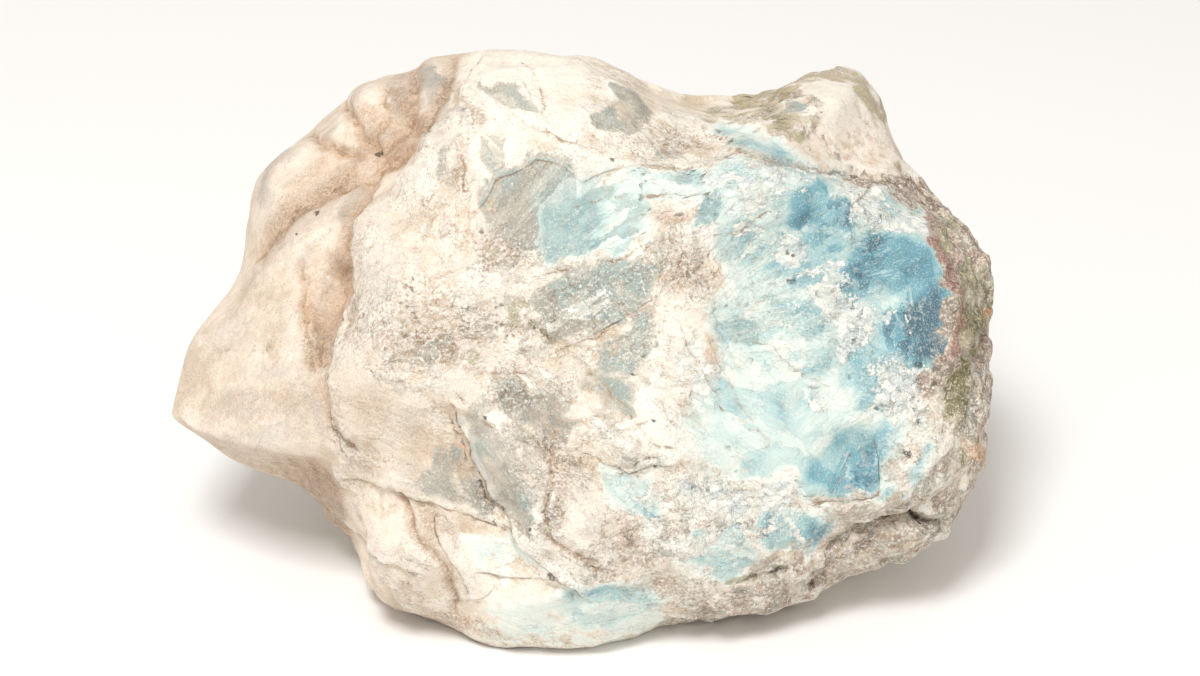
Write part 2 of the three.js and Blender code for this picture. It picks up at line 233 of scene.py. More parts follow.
# Where each kind of stone shows. Fields: outline, strength, softness of its edge in mm.
stoneFields = {
    "blueStone": [
        ([(17, 21.5), (22, 24.4), (29, 24.6), (37, 22.4), (43, 19), (47, 16.4), (48.6, 10), (48.8, 1),
          (46.4, -3.4), (43.4, -9), (42, -19), (36, -19.6), (30, -17), (24, -17), (16, -16.4), (13.6, -11),
          (14.6, -4), (18, -1), (17.6, 5), (20, 9), (18, 13), (17, 17)], 0.46, 2),
        ([(26.6, 17.4), (27, 19.6), (30.8, 22), (33, 22.2), (34.3, 20.6), (36.8, 19.4), (36.8, 16),
          (33, 14.6), (29, 15.4)], 0.86, 1.4),
        ([(31.4, 16.4), (34.4, 19.6), (36.4, 18.8), (36.2, 16.4), (34, 15.4)], 0.94, 0.8),
        ([(25, 10), (26.6, 15.6), (31, 14.8), (36, 15.6), (41, 16.6), (46, 15.4), (47.8, 12), (48.4, 5),
          (42, 5), (37, 5.4), (33, 6.4), (28, 7)], 0.8, 3),
        ([(34.6, 13.6), (40, 16.2), (45.6, 15.4), (47.8, 12), (48.4, 5), (43, 4.8), (37, 6.6)], 1, 4),
        ([(40, 4.4), (43.4, 8.4), (46, 11.6), (49.4, 10), (50.4, 4), (49.4, -2), (45, -3),
          (41, 0)], 1.2, 8),
        ([(33, -3), (36, -0.4), (41, 1.6), (43.6, 0), (42.4, -3), (40, -5), (41.6, -8.6), (39, -10),
          (35, -8.4), (34, -5.6)], 0.76, 3),
        ([(29.6, -14.6), (33.6, -11), (39, -9.8), (42.6, -11.4), (40, -14), (39.2, -19.2), (34, -19.8),
          (29.2, -18)], 0.84, 4),
        ([(35, -12.4), (39.8, -13), (39.4, -19.4), (34.2, -19.6)], 1.02, 3.4),
        ([(28.8, -17.6), (30, -16.8), (32.6, -17.6), (32.4, -20.2), (29.4, -20)], 0.62, 0.8),
        ([(24, -21.6), (28, -21), (32.6, -21.6), (33.2, -24.6), (30, -27), (25, -27), (24, -24)], 0.7, 1.6),
        ([(29, -21.6), (32.8, -22), (33, -25), (30, -26)], 0.84, 1.6),
        ([(19, -20.8), (22, -20.8), (21.8, -23), (19.6, -23)], 0.78, 0.8),
        ([(8, -21.4), (10.6, -21.8), (10.2, -23.6), (8, -23.4)], 0.68, 0.8),
        ([(23.6, 26.4), (26, 26.6), (29.6, 24.2), (25, 24)], 0.72, 1.6),
        ([(17.2, 28.8), (19.6, 30.3), (22.6, 29.6), (27, 27.4), (29.4, 25), (28.2, 23.8), (23.8, 24.2),
          (20, 26.4)], 0.52, 1.4),
        ([(18, 19.6), (24, 23), (30, 23.8), (36.4, 23.6), (34.6, 21), (28, 18.4), (22, 17.6)], 0.52, 2.2),
        ([(14, 15.6), (15.2, 19.6), (18.4, 20.8), (17.8, 17), (15.6, 15.2)], 0.66, 0.7),
        ([(18, 14.4), (21, 17.4), (27, 18), (28, 12), (24, 9.6), (19, 11)], 0.56, 3),
        ([(39, 18), (39.6, 20.6), (45.8, 19.6), (46, 17.4)], 0.62, 1.2),
        ([(25.3, 2.2), (25.4, 5.6), (30, 6.4), (35, 5), (34.8, 2), (29, 1.4)], 0.66, 2.4),
        ([(17.7, 0), (18.6, 3.4), (21, 4.4), (24.6, 3), (24, 0.4), (20, -0.6)], 0.62, 1.4),
        ([(18.4, 0.4), (20, 5), (25, 6), (38, 6), (40, -4), (30, -3), (20, -2)], 0.52, 2.4),
        ([(25, -7.6), (33, -7), (35, -14), (29, -15.6), (25, -13)], 0.5, 4),
        ([(-4.6, 11.6), (-4.4, 17), (-2, 20.6), (3.6, 22.6), (4, 18), (3.4, 13), (0, 10.4)], 0.62, 2),
        ([(2.4, 12.4), (3, 20.4), (8, 21.4), (10.6, 19), (9.4, 14), (6, 11.4)], 0.52, 2),
        ([(4.6, 21.4), (5.6, 23), (17, 23), (16.6, 20), (9, 19.4)], 0.54, 1.2),
        ([(1.4, -15.4), (5.2, -15.4), (10.4, -18), (11, -22), (7, -23), (3.4, -18.4)], 0.5, 2.4),
        ([(14.2, -24.4), (19, -22.8), (22.6, -24.4), (23.4, -28), (20.6, -31.4), (16.4, -30),
          (14.2, -27)], 0.54, 1.6),
        ([(44.2, -13.4), (46, -13.2), (46.4, -18.6), (44.4, -18.4)], 0.64, 0.9),
        ([(38, -18.4), (42.8, -18.6), (42.8, -21.4), (38.4, -21.6)], 0.66, 1.2),
        ([(34, -20.4), (37, -20.2), (36.6, -22.6), (34, -22.4)], 0.54, 1),
        ([(-2, -31.6), (9, -31), (11, -34.6), (6, -38), (-3, -35.6)], 0.5, 3),
        ([(3, -31.6), (7, -31), (10, -32.4), (6, -34.6), (2, -33.6)], 0.64, 2),
        ([(-14, -32.6), (-4, -33.6), (12, -34), (12, -40), (-12, -40)], 0.3, 3),
        ([(-15.4, -24.6), (-8, -26), (-6, -28.6), (-14, -29.4)], 0.36, 2.4),
    ],
    "greyWindow": [
        ([(-14, 22), (-6, 25), (6, 24), (13, 20), (12, 10), (11, 2), (10, -6), (6, -12), (0, -16),
          (-4, -24), (-12, -24), (-18, -19), (-16, -9), (-12, -4), (-8, 2), (-12, 8), (-14, 14)], 0.36, 5),
        ([(-24, 1), (-14, 3), (-12, -4), (-22, -8), (-30, -10), (-30, -4)], 0.25, 4),
        ([(12, 26), (20, 26), (18, 16), (16, 8), (11, 4), (10, 14)], 0.34, 3),
        ([(-11.4, 33), (-9.8, 34.2), (-5.4, 33), (-4.4, 30.4), (-8, 30.6)], 0.6, 1),
        ([(-12.3, 19.6), (-8.9, 22.9), (-2.7, 24.3), (-0.8, 21.5), (-1.6, 15), (-0.8, 11), (-5.1, 12.6),
          (-8.9, 13.8), (-11.3, 14.8)], 1, 2),
        ([(4, 33), (5.4, 35.3), (8.3, 34.4), (9.7, 31), (8.3, 29.1), (4.5, 29.1)], 0.8, 1),
        ([(1.1, 31.5), (4, 32), (4.5, 29.1), (1.6, 29.4)], 0.9, 0.4),
        ([(-18, 26.7), (-16.1, 27.7), (-15.6, 21.5), (-17.5, 20.5)], 0.62, 0.6),
        ([(-12.8, 26.7), (-9.4, 27.2), (-8.9, 21.5), (-11.8, 20.5)], 0.56, 0.8),
        ([(2.5, -2.9), (4.5, 0.9), (8.3, 4.6), (9.9, 4.6), (9, -1), (5.4, -3.4), (2.5, -4.4)], 0.88, 1.2),
        ([(-11.3, -3.9), (-8, -4.6), (-2.7, -6.6), (1, -11), (-0.8, -13), (-6.5, -11),
          (-10.8, -7.4)], 0.8, 1),
        ([(-7.5, 6.1), (-2.7, 8.6), (6.4, 11.4), (11, 11), (10, 6), (8.3, 4.8), (2.1, 1.8), (-2.2, 0.4),
          (-6, 3.3)], 0.95, 1.6),
        ([(-16.3, -8.6), (-12.5, -9.6), (-8.2, -13.4), (-6.3, -18.7), (-5.8, -21.5), (-6.3, -25.3),
          (-9.2, -23.9), (-11.1, -21), (-13.5, -16.7), (-14.9, -12.4)], 0.74, 0.4),
        ([(-16.3, -11.5), (-14.9, -15.8), (-10.6, -21.5), (-12, -22.5), (-15.8, -19.1),
          (-16.8, -15.8)], 1, 0.3),
        ([(-18, -12.6), (-16.3, -13.4), (-16.3, -18.6), (-12, -22.5), (-18.7, -19.6),
          (-21.6, -17)], 0.8, 1.4),
        ([(0.2, -4.4), (2.4, -4.4), (7, -3), (7, -9), (3, -7.6)], 0.8, 1.8),
        ([(-4.6, 11.6), (-4.4, 17), (-2, 20.6), (3, 21), (2.4, 16), (0, 10.4)], 0.55, 2),
        ([(-22, 38), (-17, 38), (-17.4, 33.6), (-21, 34)], 0.75, 0.8),
        ([(-31.2, 19.4), (-29.8, 19.6), (-30.2, 13), (-31.4, 12.6)], 0.8, 0.4),
        ([(-34.6, 3.4), (-31.8, 3.4), (-32, -0.2), (-34.4, 0.4)], 0.75, 0.5),
        ([(-22.6, 1), (-16.6, 1.4), (-16.4, -2), (-22, -1.6)], 0.72, 0.7),
        ([(27.4, 33.4), (32, 32.8), (31.6, 31), (27.6, 31.2)], 0.8, 0.6),
        ([(10.8, 27.4), (14.4, 27.2), (14, 24.6), (11, 24.8)], 0.66, 0.5),
        ([(14, 15.6), (15.2, 19.6), (18.4, 20.8), (17.8, 17), (15.6, 15.2)], 0.6, 0.7),
        ([(18, 0), (18.6, 3.2), (21, 4.2), (24, 3), (23.6, 0.4)], 0.5, 1),
    ],
}
# Patches: across, up, half width, half height, turn in degrees, strength.
stonePatches = {
    "whiteCrust": [
        (33.4, 6.8, 2.4, 1.7, 0, 1), (36.6, 2.2, 3, 3.8, 15, 1), (42.6, -6.4, 4.8, 4.2, -22, 1),
        (38.6, 19, 2.4, 2.8, 0, 1), (42.6, 21.4, 3.8, 1.2, -18, 0.9), (43.4, 16.4, 3.6, 1, -10, 1),
        (22.4, 15.7, 2.1, 0.8, 5, 0.95), (28.6, 13.1, 1.4, 2.2, 10, 0.75), (17.6, -21, 7.6, 3.4, -10, 1),
        (12, -25.2, 5, 3, -10, 0.85), (6.4, -12.8, 4.4, 2, -35, 0.9), (24.6, -19.6, 5, 1.3, 4, 0.9),
        (0, 4.8, 6.4, 1.2, 32, 0.8), (15.4, -2.6, 3.2, 4.4, 20, 0.7), (30.8, -7, 1, 2.6, 30, 0.8),
        (23.6, 24, 4.6, 0.8, -12, 0.7), (28, 20.9, 8, 0.35, 22, 0.62), (26.5, 18.6, 7, 0.3, 30, 0.6),
        (25, 22.4, 8, 0.4, 12, 0.62), (22, 19.4, 6, 0.35, 26, 0.6), (33.6, 23.4, 4, 0.6, 0, 0.9),
        (31.6, 9.6, 5, 0.5, 18, 0.8), (34.4, 8.8, 3, 0.9, -10, 0.7), (36.6, -19.8, 2, 0.9, 0, 0.7),
        (23, -24.6, 1, 3, 10, 0.7), (28.6, -24, 4, 0.6, -60, 0.6), (38.4, -7, 1, 2, -40, 0.7),
        (42.4, 3.2, 2.6, 0.3, -40, 0.75), (31.8, 5.2, 3, 0.5, 10, 0.7),
    ],
    "tanStain": [
        (-24, 29.4, 3, 5, 14, 1), (-28.6, 30.4, 2.6, 2.2, 0, 0.75), (-27.4, 25.8, 3.4, 2, 20, 0.9),
        (-35.6, 20.6, 7.6, 1, 32, 1), (-41, 15, 2.4, 4, -20, 0.7), (14.1, 9.6, 3.4, 3.2, 0, 0.66),
        (17.4, -1.6, 1.2, 2.8, -20, 0.8), (12.5, 17, 2.4, 1.6, 0, 0.7), (10.7, 27.6, 3.8, 1.6, 0, 0.5),
        (-35, 4.5, 1, 4.6, -4, 0.75), (-31.6, 11.5, 1, 4.4, 0, 0.7), (-33, -8, 1.6, 5, 12, 0.6),
        (-19.5, 1.5, 8, 4, 0, 0.5), (-10.8, 12.4, 2, 2, 0, 0.8), (-3, -14.6, 3, 1.8, -40, 0.85),
        (-2.6, -19.4, 1.4, 4, 5, 0.8), (-14.6, -36.6, 6, 1, -14, 0.75), (31, 33.6, 1.6, 0.7, 0, 0.75),
        (-15.2, 32.4, 1.1, 5, 20, 0.8), (-18.8, -22.6, 1.2, 4.6, 38, 0.7), (8.4, -25.8, 6, 3, -15, 0.65),
        (13, -16, 2.4, 1, 0, 0.75), (35.2, -22.4, 3.4, 2.4, 0, 0.7), (42, -15.4, 2.6, 2, 0, 0.7),
        (20, 27.6, 3, 1.4, 0, 0.4), (23, 20.6, 4, 1.6, 10, 0.5), (14.4, -7.4, 1, 3.4, 12, 0.6),
        (-42, -8.4, 9, 3, 12, 0.5), (12, -32, 6, 2, -10, 0.6),
    ],
    "paleWear": [
        (37, 29.4, 4, 5, 20, 1), (34.4, 33, 2.6, 3, 30, 0.8), (-9, 36, 9, 4, 0, 1.1),
        (-14, 30.6, 5, 2.4, 0, 1.1), (-13, 24, 4, 4, 0, 0.7), (-20, 24, 3, 6, -20, 0.7),
        (-12.6, -28.4, 6.4, 2, -34, 1), (0.4, -21.6, 4, 3.8, 0, 1), (13.4, 2, 4.6, 6, 0, 1),
        (8, -11, 5, 2.4, -40, 1), (-26, -23, 5, 6.4, -30, 0.7), (42.4, -15.6, 3, 2.4, 0, 0.9),
        (31.6, 31, 3, 5, -10, 0.5), (20, -3.4, 7, 1.4, -34, 0.9), (-5, 28, 6, 2, 10, 0.9),
        (6, 28.4, 3, 1.4, 0, 0.7), (-26, 10, 3, 8, 0, 0.5), (22, -6, 5, 1, -34, 0.6),
        (14, 24.6, 5, 1.2, -10, 0.7),
    ],
    "greyBand": [
        (-42.6, 21.4, 1.4, 3, -25, 0.9), (-20.4, 35.4, 1.8, 3, 10, 1), (-23.6, 32.6, 1.2, 2.4, 10, 0.6),
        (-30.4, 18.4, 1.3, 4.4, -22, 1), (-31.4, 10, 1.2, 5, 4, 0.8), (-33.6, 3, 1.2, 3.6, 0, 0.8),
        (-40, 24.6, 2.6, 1.2, 35, 0.6), (-17.4, 31.6, 0.9, 3.4, 30, 0.7), (-46, 1, 4, 3, 10, 0.4),
        (-41, -3, 4, 2, 0, 0.45), (-45, -8, 6, 2.4, 14, 0.5), (-38, -9, 3, 3, 0, 0.45),
        (-25.6, 33, 0.9, 2.4, 0, 0.7), (-34.8, -10, 1, 4, 10, 0.6), (-36, 12, 5, 1, 50, 0.4),
        (-33.2, 8, 1, 1.4, 0, 0.6), (-40, -12, 8, 1.6, 12, 0.45), (-25, 9, 2.4, 4, -20, 0.4),
        (-23, -11, 4, 2.4, -30, 0.4), (-22.6, -17, 3, 2, -30, 0.4),
    ],
    # brown in the shoulder's hollows: partly the stone's own stain, partly painted shade
    "hollowStainAndShade": [
        (-23.6, 31.6, 1.5, 4.4, 16, 0.8), (-26.6, 29, 2.4, 1.3, 30, 0.6), (-25.2, 26.4, 2.6, 1.2, 30, 0.8),
        (-19.4, 29.6, 1.4, 3, 24, 0.5), (-31.6, 24, 4, 0.8, 30, 0.55), (-38, 18.8, 4, 0.9, 38, 0.6),
        (-31.6, 9.6, 0.7, 4, 0, 0.6), (-33.6, 1.6, 0.8, 3, 0, 0.5), (-30.4, 33.4, 0.9, 2, -40, 0.6),
        (-34.2, 29, 0.7, 1.6, -40, 0.5),
    ],
    "orangeStain": [
        (53, -14.5, 1.2, 1.6, 0, 1), (53.9, 3.5, 0.7, 1.2, 0, 1), (-15, -36.4, 0.35, 0.3, 0, 1),
        (39, -19.2, 0.8, 0.4, 0, 0.9), (-14.9, 24.4, 0.35, 2.6, 5, 0.7), (-7.3, 28.1, 0.5, 0.8, 0, 0.7),
        (-15.1, -13.8, 0.35, 2.6, 25, 0.7),
    ],
    "oliveRind": [
        (52.3, 4.6, 2.2, 6.8, 2, 1.5), (50.9, -6, 2.5, 4.8, -6, 1.5), (50.6, -14.6, 1.2, 3, 0, 0.8),
        (50, 16, 1.6, 3.4, -24, 0.85), (35.4, -25.2, 1.2, 2, -35, 0.85), (24, -29.6, 3.6, 0.6, 18, 0.8),
        (48.2, -24.6, 0.9, 1.6, 0, 0.9), (20, 31.4, 5, 1, -8, 0.45), (26.6, 31.2, 5, 1.8, -30, 0.8),
        (39.2, 33, 1.5, 3, 22, 0.6), (42.4, 24.3, 1.4, 0.6, 0, 0.9), (-7.6, 4.6, 0.7, 0.8, 0, 0.6),
        (-9.8, 0.4, 0.9, 0.5, 20, 0.55), (-11.6, 12.6, 0.6, 0.6, 0, 0.6), (-13.4, -1, 0.8, 1, 0, 0.5),
        (-22, 5.4, 4, 1.4, -10, 0.4),
    ],
    "darkRind": [
        (39.6, 22.6, 3, 0.9, -6, 0.9), (44.6, 20, 2.4, 2, -40, 0.75), (48.8, 12, 1.8, 6, 6, 0.9),
        (49.6, 3, 1.8, 5.4, 0, 1), (48, -3, 2, 4, 0, 1),
    ],
}
# Left of this line, walking down it, the rough rind begins.
rindEdge = [
    (41.3, 23), (45.2, 20.9), (46.7, 18.4), (47.4, 15.2), (48.7, 11), (49.3, 6.2), (48.2, 1.6), (46.8, -2),
    (47.8, -5.4), (49.6, -9), (50.8, -13.6), (50, -17.2), (45, -18.6), (40, -22), (36.6, -24.8),
    (31.5, -26), (27.5, -27.6), (22, -31.6), (16, -33.6), (12, -35.6), (9, -40),
]
thinRind = [
    ([(17, 32.6), (24, 34.8), (30, 36.6), (32, 34), (33, 30), (33.4, 26.4), (28, 26.4), (24, 28.8),
      (19, 31)], 0.6, 2),
    ([(32, -19.8), (38.4, -19.6), (45, -18.6), (48.4, -14), (48.6, -9), (50.6, -11), (50.6, -19), (46, -22),
      (38, -25), (32, -27), (22, -31), (24, -27.6), (32, -24)], 0.6, 3),
]
humpRim = [(22, 34.4), (26, 35.6), (31, 37.6), (35.3, 38.2), (39, 36.6), (42, 32.5)]
humpRimPatches = [(39.4, 33.6, 1.4, 3.2, 26, 0.9)]
redVein = [(46.6, 17.6), (47.6, 13), (49.2, 9), (50.4, 6.4), (50.2, 3.2), (49, 0.6)]
# Left of this line, walking up it, the stone is worn smooth.
wornEdge = [
    (-30, -22), (-32.5, -16.5), (-33.5, -10), (-33.8, -4), (-32.2, 1), (-30.6, 7), (-30.3, 11),
    (-30.6, 15.4), (-30.1, 18.3), (-25.3, 20.2), (-22.9, 25.4), (-21.5, 28.3), (-16.7, 30.7), (-15.3, 34.5),
    (-13.8, 37.4), (-12.5, 42),
]
wornPatches = [(35, 31, 9, 6.5, 20, 1), (39, 26, 5, 2.5, -20, 1), (20, 34, 8, 2.4, 0, 1)]
# Below this line the stone turns under, and its colour carries painted shade, darker and browner towards the
# heel.
noseRidge = [(-57, -10), (-46, -12.6), (-40, -14), (-34.6, -15.4), (-32, -18.4), (-31.4, -24)]
# where the tones turn cold, and where they turn warm
coolFields = [
    ([(15, 22), (24, 25), (38, 24), (46, 19), (48, 6), (47, -4), (46, -18), (36, -21), (24, -24), (10, -18),
      (11, -8), (19, -2), (19, 6), (23, 12)], 1, 4),
    ([(-5, 24), (-2, 25), (16, 23), (12, 8), (0, 4), (-5, 10)], 0.6, 3),
]
warmPatches = [(33, 30, 10, 8, 0, 0.8), (13, 8, 5, 6, 0, 1)]
# where the break is smooth, and where it crumbles
smoothBreaks = [
    (-26, -23.6, 4.4, 6, -30, 1), (-14.4, -26.4, 6, 3.2, -38, 1), (-9, -33.6, 10, 3, -14, 0.9),
    (-19.6, -15.4, 5.4, 3.8, -38, 0.9), (-12.6, -14.4, 2.6, 7.6, 34, 1), (-27, -7.4, 6, 5, 0, 0.8),
    (0.6, -22, 4.8, 4.2, 0, 0.8), (25.2, -10, 11, 7.4, -14, 0.9), (41, 11.4, 7, 5, 0, 1),
    (44.6, 3, 4.4, 4.4, 0, 1), (33.6, -15.6, 6, 3.4, 0, 1), (31.8, 18.8, 5, 3.6, 10, 0.8),
    (-8, 30, 8, 6, 0, 0.6), (-8.9, 32.7, 3.4, 1.8, -22, 1), (-10, 37, 10, 4, 0, 1),
    (-12, 27, 5, 3.4, 0, 0.8), (-7, 19, 5, 5, 0, 0.7), (4.4, 17.6, 5.4, 5.4, 0, 0.9),
    (-4.4, -9, 6, 2.6, -45, 0.9), (16, 1, 5, 5, 0, 0.6), (7, -8, 4, 5, 30, 0.8), (22, 28.3, 5, 2, -16, 0.8),
    (-24, 12, 4, 6, 0, 0.5), (-14, 24, 4, 5, 0, 0.6), (7, 32, 4, 3, 0, 0.7),
]
crumblyBreaks = [
    (-19.5, 1.6, 9, 5.4, 0, 1), (10.7, 27.4, 5.2, 2.2, 0, 0.4), (17.6, -21.6, 8, 4, -8, 1),
    (9, -26, 6.4, 4, -15, 1), (-2.6, -14.4, 4, 2.6, -40, 1), (14, 9.6, 4, 4, 0, 0.7),
    (36.8, 3, 3, 5, 10, 1), (42.4, -6, 5, 4, -22, 1), (42, -15.4, 3, 2.4, 0, 0.8),
    (12, 13.4, 3, 2, 20, 0.6), (-11, 12, 3, 3, 0, 1), (-15.2, 24, 1, 5, 0, 0.7), (38, 18, 3, 4, 0, 0.9),
    (14, -33, 9, 3, -10, 0.8), (-4, -20, 1.8, 6, 0, 1), (1, -28, 5, 1.6, -20, 1),
    (-9.4, -4, 5, 2.6, -30, 0.8),
]

masks = {name: fieldMask(outlines) for name, outlines in stoneFields.items()}
masks.update({name: patchMask(patches) for name, patches in stonePatches.items()})
pastEdge = ramp(besideLine(rindEdge)[0], -1.2, 1.2) * ramp(-v, -24.4, -22.4) * front
masks["mauveRind"] = np.maximum(pastEdge * np.clip(0.66 + 0.3 * ramp(v, -10, 5), 0, 1), fieldMask(thinRind))
masks["humpRim"] = np.maximum(lineMask(humpRim, 1.5, 0.8), patchMask(humpRimPatches, 0.4))
masks["redVein"] = lineMask(redVein, 0.6, 0.5)
below = ramp(-besideLine(noseRidge)[0], -0.3, 0.7) * ramp(-u, 28, 30) * ramp(-v, 8, 10)
# painted shade also on every surface that faces downwards, on the left of the face
turnedDown = ramp(-normals[:, 2], 0.35, 0.8) * ramp(-u, 0, 20)
masks["underside"] = np.maximum(below * (0.55 + 0.45 * ramp(u, -44, -35)), 0.75 * turnedDown)
masks["cool"] = fieldMask(coolFields, 1.0)
masks["warm"] = np.clip(ramp(-u, 6, 24) + 0.6 * patchMask(warmPatches), 0, 1) * front
wornEnd = ramp(besideLine(wornEdge, 0.4)[0], -0.4, 0.4) * ramp(u, -5, -12) * front
worn = np.maximum(patchMask(wornPatches), wornEnd)
crumbly = patchMask(crumblyBreaks)
smooth = patchMask(smoothBreaks)
masks["broken"] = np.clip(0.4 + 0.65 * crumbly - 0.4 * smooth * (1 - crumbly), 0.04, 1) * (1 - 0.9 * worn)

# The sides and the back: worn cream on the left and above, rind on the right and below, and some blue.
back = ramp(1 - front, 0.3, 0.9)
patchy = waves(16, 40.0, 2)


def onBack(mask, share):
    return np.maximum(mask, back * np.clip(share, 0, 1))


backShares = {
    "mauveRind": 0.42 + 0.9 * patchy + 0.5 * ramp(u, 5, 45) - 0.3 * ramp(v, 0, 40),
    "oliveRind": 0.05 + 0.9 * waves(9, 55.0, 2) + 0.16 * ramp(u, 0, 50),
    "tanStain": 0.3 + 0.9 * waves(12, 66.0, 2),
    "blueStone": np.minimum(1.1 * waves(13, 77.0, 2) - 0.14, 0.6),
    "greyWindow": 0.2 + 1.1 * waves(11, 88.0, 2),
    "warm": 1,
}
for name, share in backShares.items():
    masks[name] = onBack(masks[name], share)
worn = onBack(worn, 0.7 * ramp(u, 20, -20))
masks["broken"] = onBack(masks["broken"], np.clip(0.45 + 0.6 * patchy, 0.1, 1) * (1 - 0.8 * worn))
broken = masks["broken"]
print("masks:", ", ".join(masks))

# Cracks: line, half width, depth, which family of thin lines carries its colour. The dark family is painted
# shadow, in the deepest cracks and in the gaps under ledges.
cracks = [
    ([(-7, 5.2), (-6, 2.8), (-2.7, 0), (-0.3, -1.5), (1.6, -3.9)], 0.3, 0.8, "olive"),
    ([(1.6, -3.9), (4.5, -6.7), (6.4, -8.7), (9.3, -11.5)], 0.16, 0.3, "olive"),
    ([(-1.7, -0.3), (2.1, 0.9), (4.5, 3.3)], 0.16, 0.4, "brown"),
    ([(0.7, 18.6), (5.5, 19.6), (10, 19.9), (16.4, 20.1)], 0.2, 0.25, "brown"),
    ([(-7.6, 8.4), (-1.1, 10.2), (5.4, 11.2), (11.3, 14.2)], 0.2, 0.25, "brown"),
    ([(26.5, 24.3), (30, 24.1), (35, 23.6), (39.6, 23.7)], 0.22, 0.7, "dark"),
    ([(24.8, -30.4), (26.7, -29.4)], 0.35, 0.7, "dark"),
    ([(33.4, -26.8), (35.3, -25.4), (36.4, -25)], 0.5, 1.2, "dark"),
    ([(36.4, -25), (39.6, -23.9), (43.4, -23.4), (47.4, -23.6)], 0.5, 1.3, "dark"),
    ([(36.8, -25), (34.4, -28), (31.4, -31.6)], 0.3, 0.7, "olive"),
    ([(21, -31.6), (24.4, -30.4), (26.2, -29.7)], 0.25, 0.5, "olive"),
    ([(-14.9, 26.4), (-15.1, 20.6)], 0.3, 0.4, "brown"),
    ([(-7, 37.8), (-6, 35.8), (-4.6, 33.4), (-4.4, 31)], 0.2, 0.4, "brown"),
    ([(-16.6, -10.6), (-15.4, -14), (-14, -17.6), (-11.6, -21.6)], 0.28, 0.6, "dark"),
    ([(-15.3, -6.6), (-12.2, -9.7), (-9.4, -11.6), (-7.6, -12)], 0.22, 0.4, "brown"),
    ([(-12.2, -3.6), (-8, -3.2), (-3.6, -5), (-1, -6.9)], 0.2, 0.3, "brown"),
    ([(3.6, -12.4), (6, -10.6), (9, -9.6)], 0.18, 0.3, "brown"),
    ([(5, -15.8), (7, -15.4), (10, -14.6)], 0.22, 0.5, "brown"),
    ([(16.2, 12), (17.5, 6.5), (18.4, 3)], 0.18, 0.3, "brown"),
    ([(17, 1.4), (18.4, -2.6), (20, -6), (22.6, -9.6), (25, -13)], 0.24, 0.35, "brown"),
    ([(13, 3.4), (14.6, -1), (17.4, -5), (19, -8)], 0.22, 0.3, "brown"),
    ([(22, 1.4), (26, -0.6), (28.6, -3.4), (32, -4.6)], 0.18, 0.25, "brown"),
    ([(16, 14), (21, 14.6), (24, 17), (26.6, 18.4)], 0.18, 0.3, "brown"),
    ([(-28.3, 0.2), (-27, -2.4), (-26, -4.4)], 0.22, 0.5, "brown"),
    ([(-48, -0.4), (-44, -0.6), (-41.6, -0.3)], 0.12, 0.15, "brown"),
    ([(32, -20.2), (35.5, -19.6), (38.6, -19)], 0.25, 0.6, "brown"),
    ([(34.2, 20.2), (31.6, 16)], 0.14, 0.3, "brown"),
    ([(11.3, 11.4), (10.2, 8), (9.8, 4.8)], 0.2, 0.35, "brown"),
    ([(1.6, -10.6), (5, -12), (8.3, -12.5), (12.1, -13.4)], 0.22, 0.45, "brown"),
    ([(-8.4, 29.8), (-6, 28), (-3.6, 27.6), (0.4, 26)], 0.2, 0.4, "brown"),
    ([(-33.2, -9), (-31.4, -12.4), (-29.4, -13.8)], 0.3, 0.6, "brown"),
]
# Gullies: line, half width, depth.
gullies = [
    ([(-43.8, 12.6), (-41.4, 16.4), (-37.4, 19.6), (-33.4, 21.6), (-28.7, 23.2), (-25, 25.4)], 1.1, 1.2),
    ([(-28.4, 21.8), (-30.2, 18.6), (-31.4, 15.4), (-31.6, 11), (-32, 7.4), (-33.6, 3.4),
      (-34, -1)], 1.1, 1.2),
    ([(-36.6, 9), (-36.2, 3), (-35.4, -2)], 1, 0.6),
    ([(-37.6, 29.6), (-34.9, 27.4), (-31.6, 26.2)], 0.7, 1.2),
    ([(-34, 35), (-31.4, 32), (-30, 28.8), (-28.4, 26.8)], 0.6, 1.2),
    ([(-22.8, 39), (-22.6, 36.4), (-23.4, 33.6)], 0.6, 0.9),
    ([(-17.2, 40), (-17.8, 36), (-19.6, 32), (-22.6, 27.6)], 0.8, 0.6),
    ([(-24, -20.4), (-20.6, -25), (-17.4, -29), (-16.4, -34)], 0.65, 0.9),
    ([(-26.4, 26.6), (-24.2, 29.4), (-22.6, 32.6), (-21.8, 36)], 0.5, 0.5),
    ([(-25, 25.8), (-21.8, 29), (-19.8, 32), (-18.8, 35)], 0.45, 0.45),
    ([(-28.2, 27.4), (-26.8, 30.6), (-26.4, 33.6)], 0.5, 0.5),
    ([(-3.6, -16.6), (-4.4, -20.6), (-3.6, -25), (0, -27.6)], 0.5, 0.5),
    ([(21.4, 25.6), (26, 24.4), (30, 23.6)], 0.8, 0.4),
    ([(38, -24.4), (43, -23.2), (48, -23.6)], 0.7, 0.9),
]
# Knobs: across, up, half width, half height, turn in degrees, rise.
knobs = [
    (-29.4, 33.6, 3.2, 2.4, 42, 1.5), (-24.2, 30, 2.8, 4.4, 14, -1.5), (-20.4, 37.6, 1.8, 3, 10, 0.5),
    (-38.6, 25, 4.4, 2.4, 35, 1.1), (-43, 18.4, 2.2, 4, -20, 0.8), (-31.8, 29.6, 2, 1.6, 30, 0.5),
    (-37.6, 8, 3, 8, -25, 0.6), (0.4, -22, 4, 4, 0, 0.8), (52.6, -15, 2, 1.6, 0, 0.8),
    (53, 3, 2, 1.4, 0, 0.5), (42, -26.2, 4.4, 1.6, 6, 0.6),
]
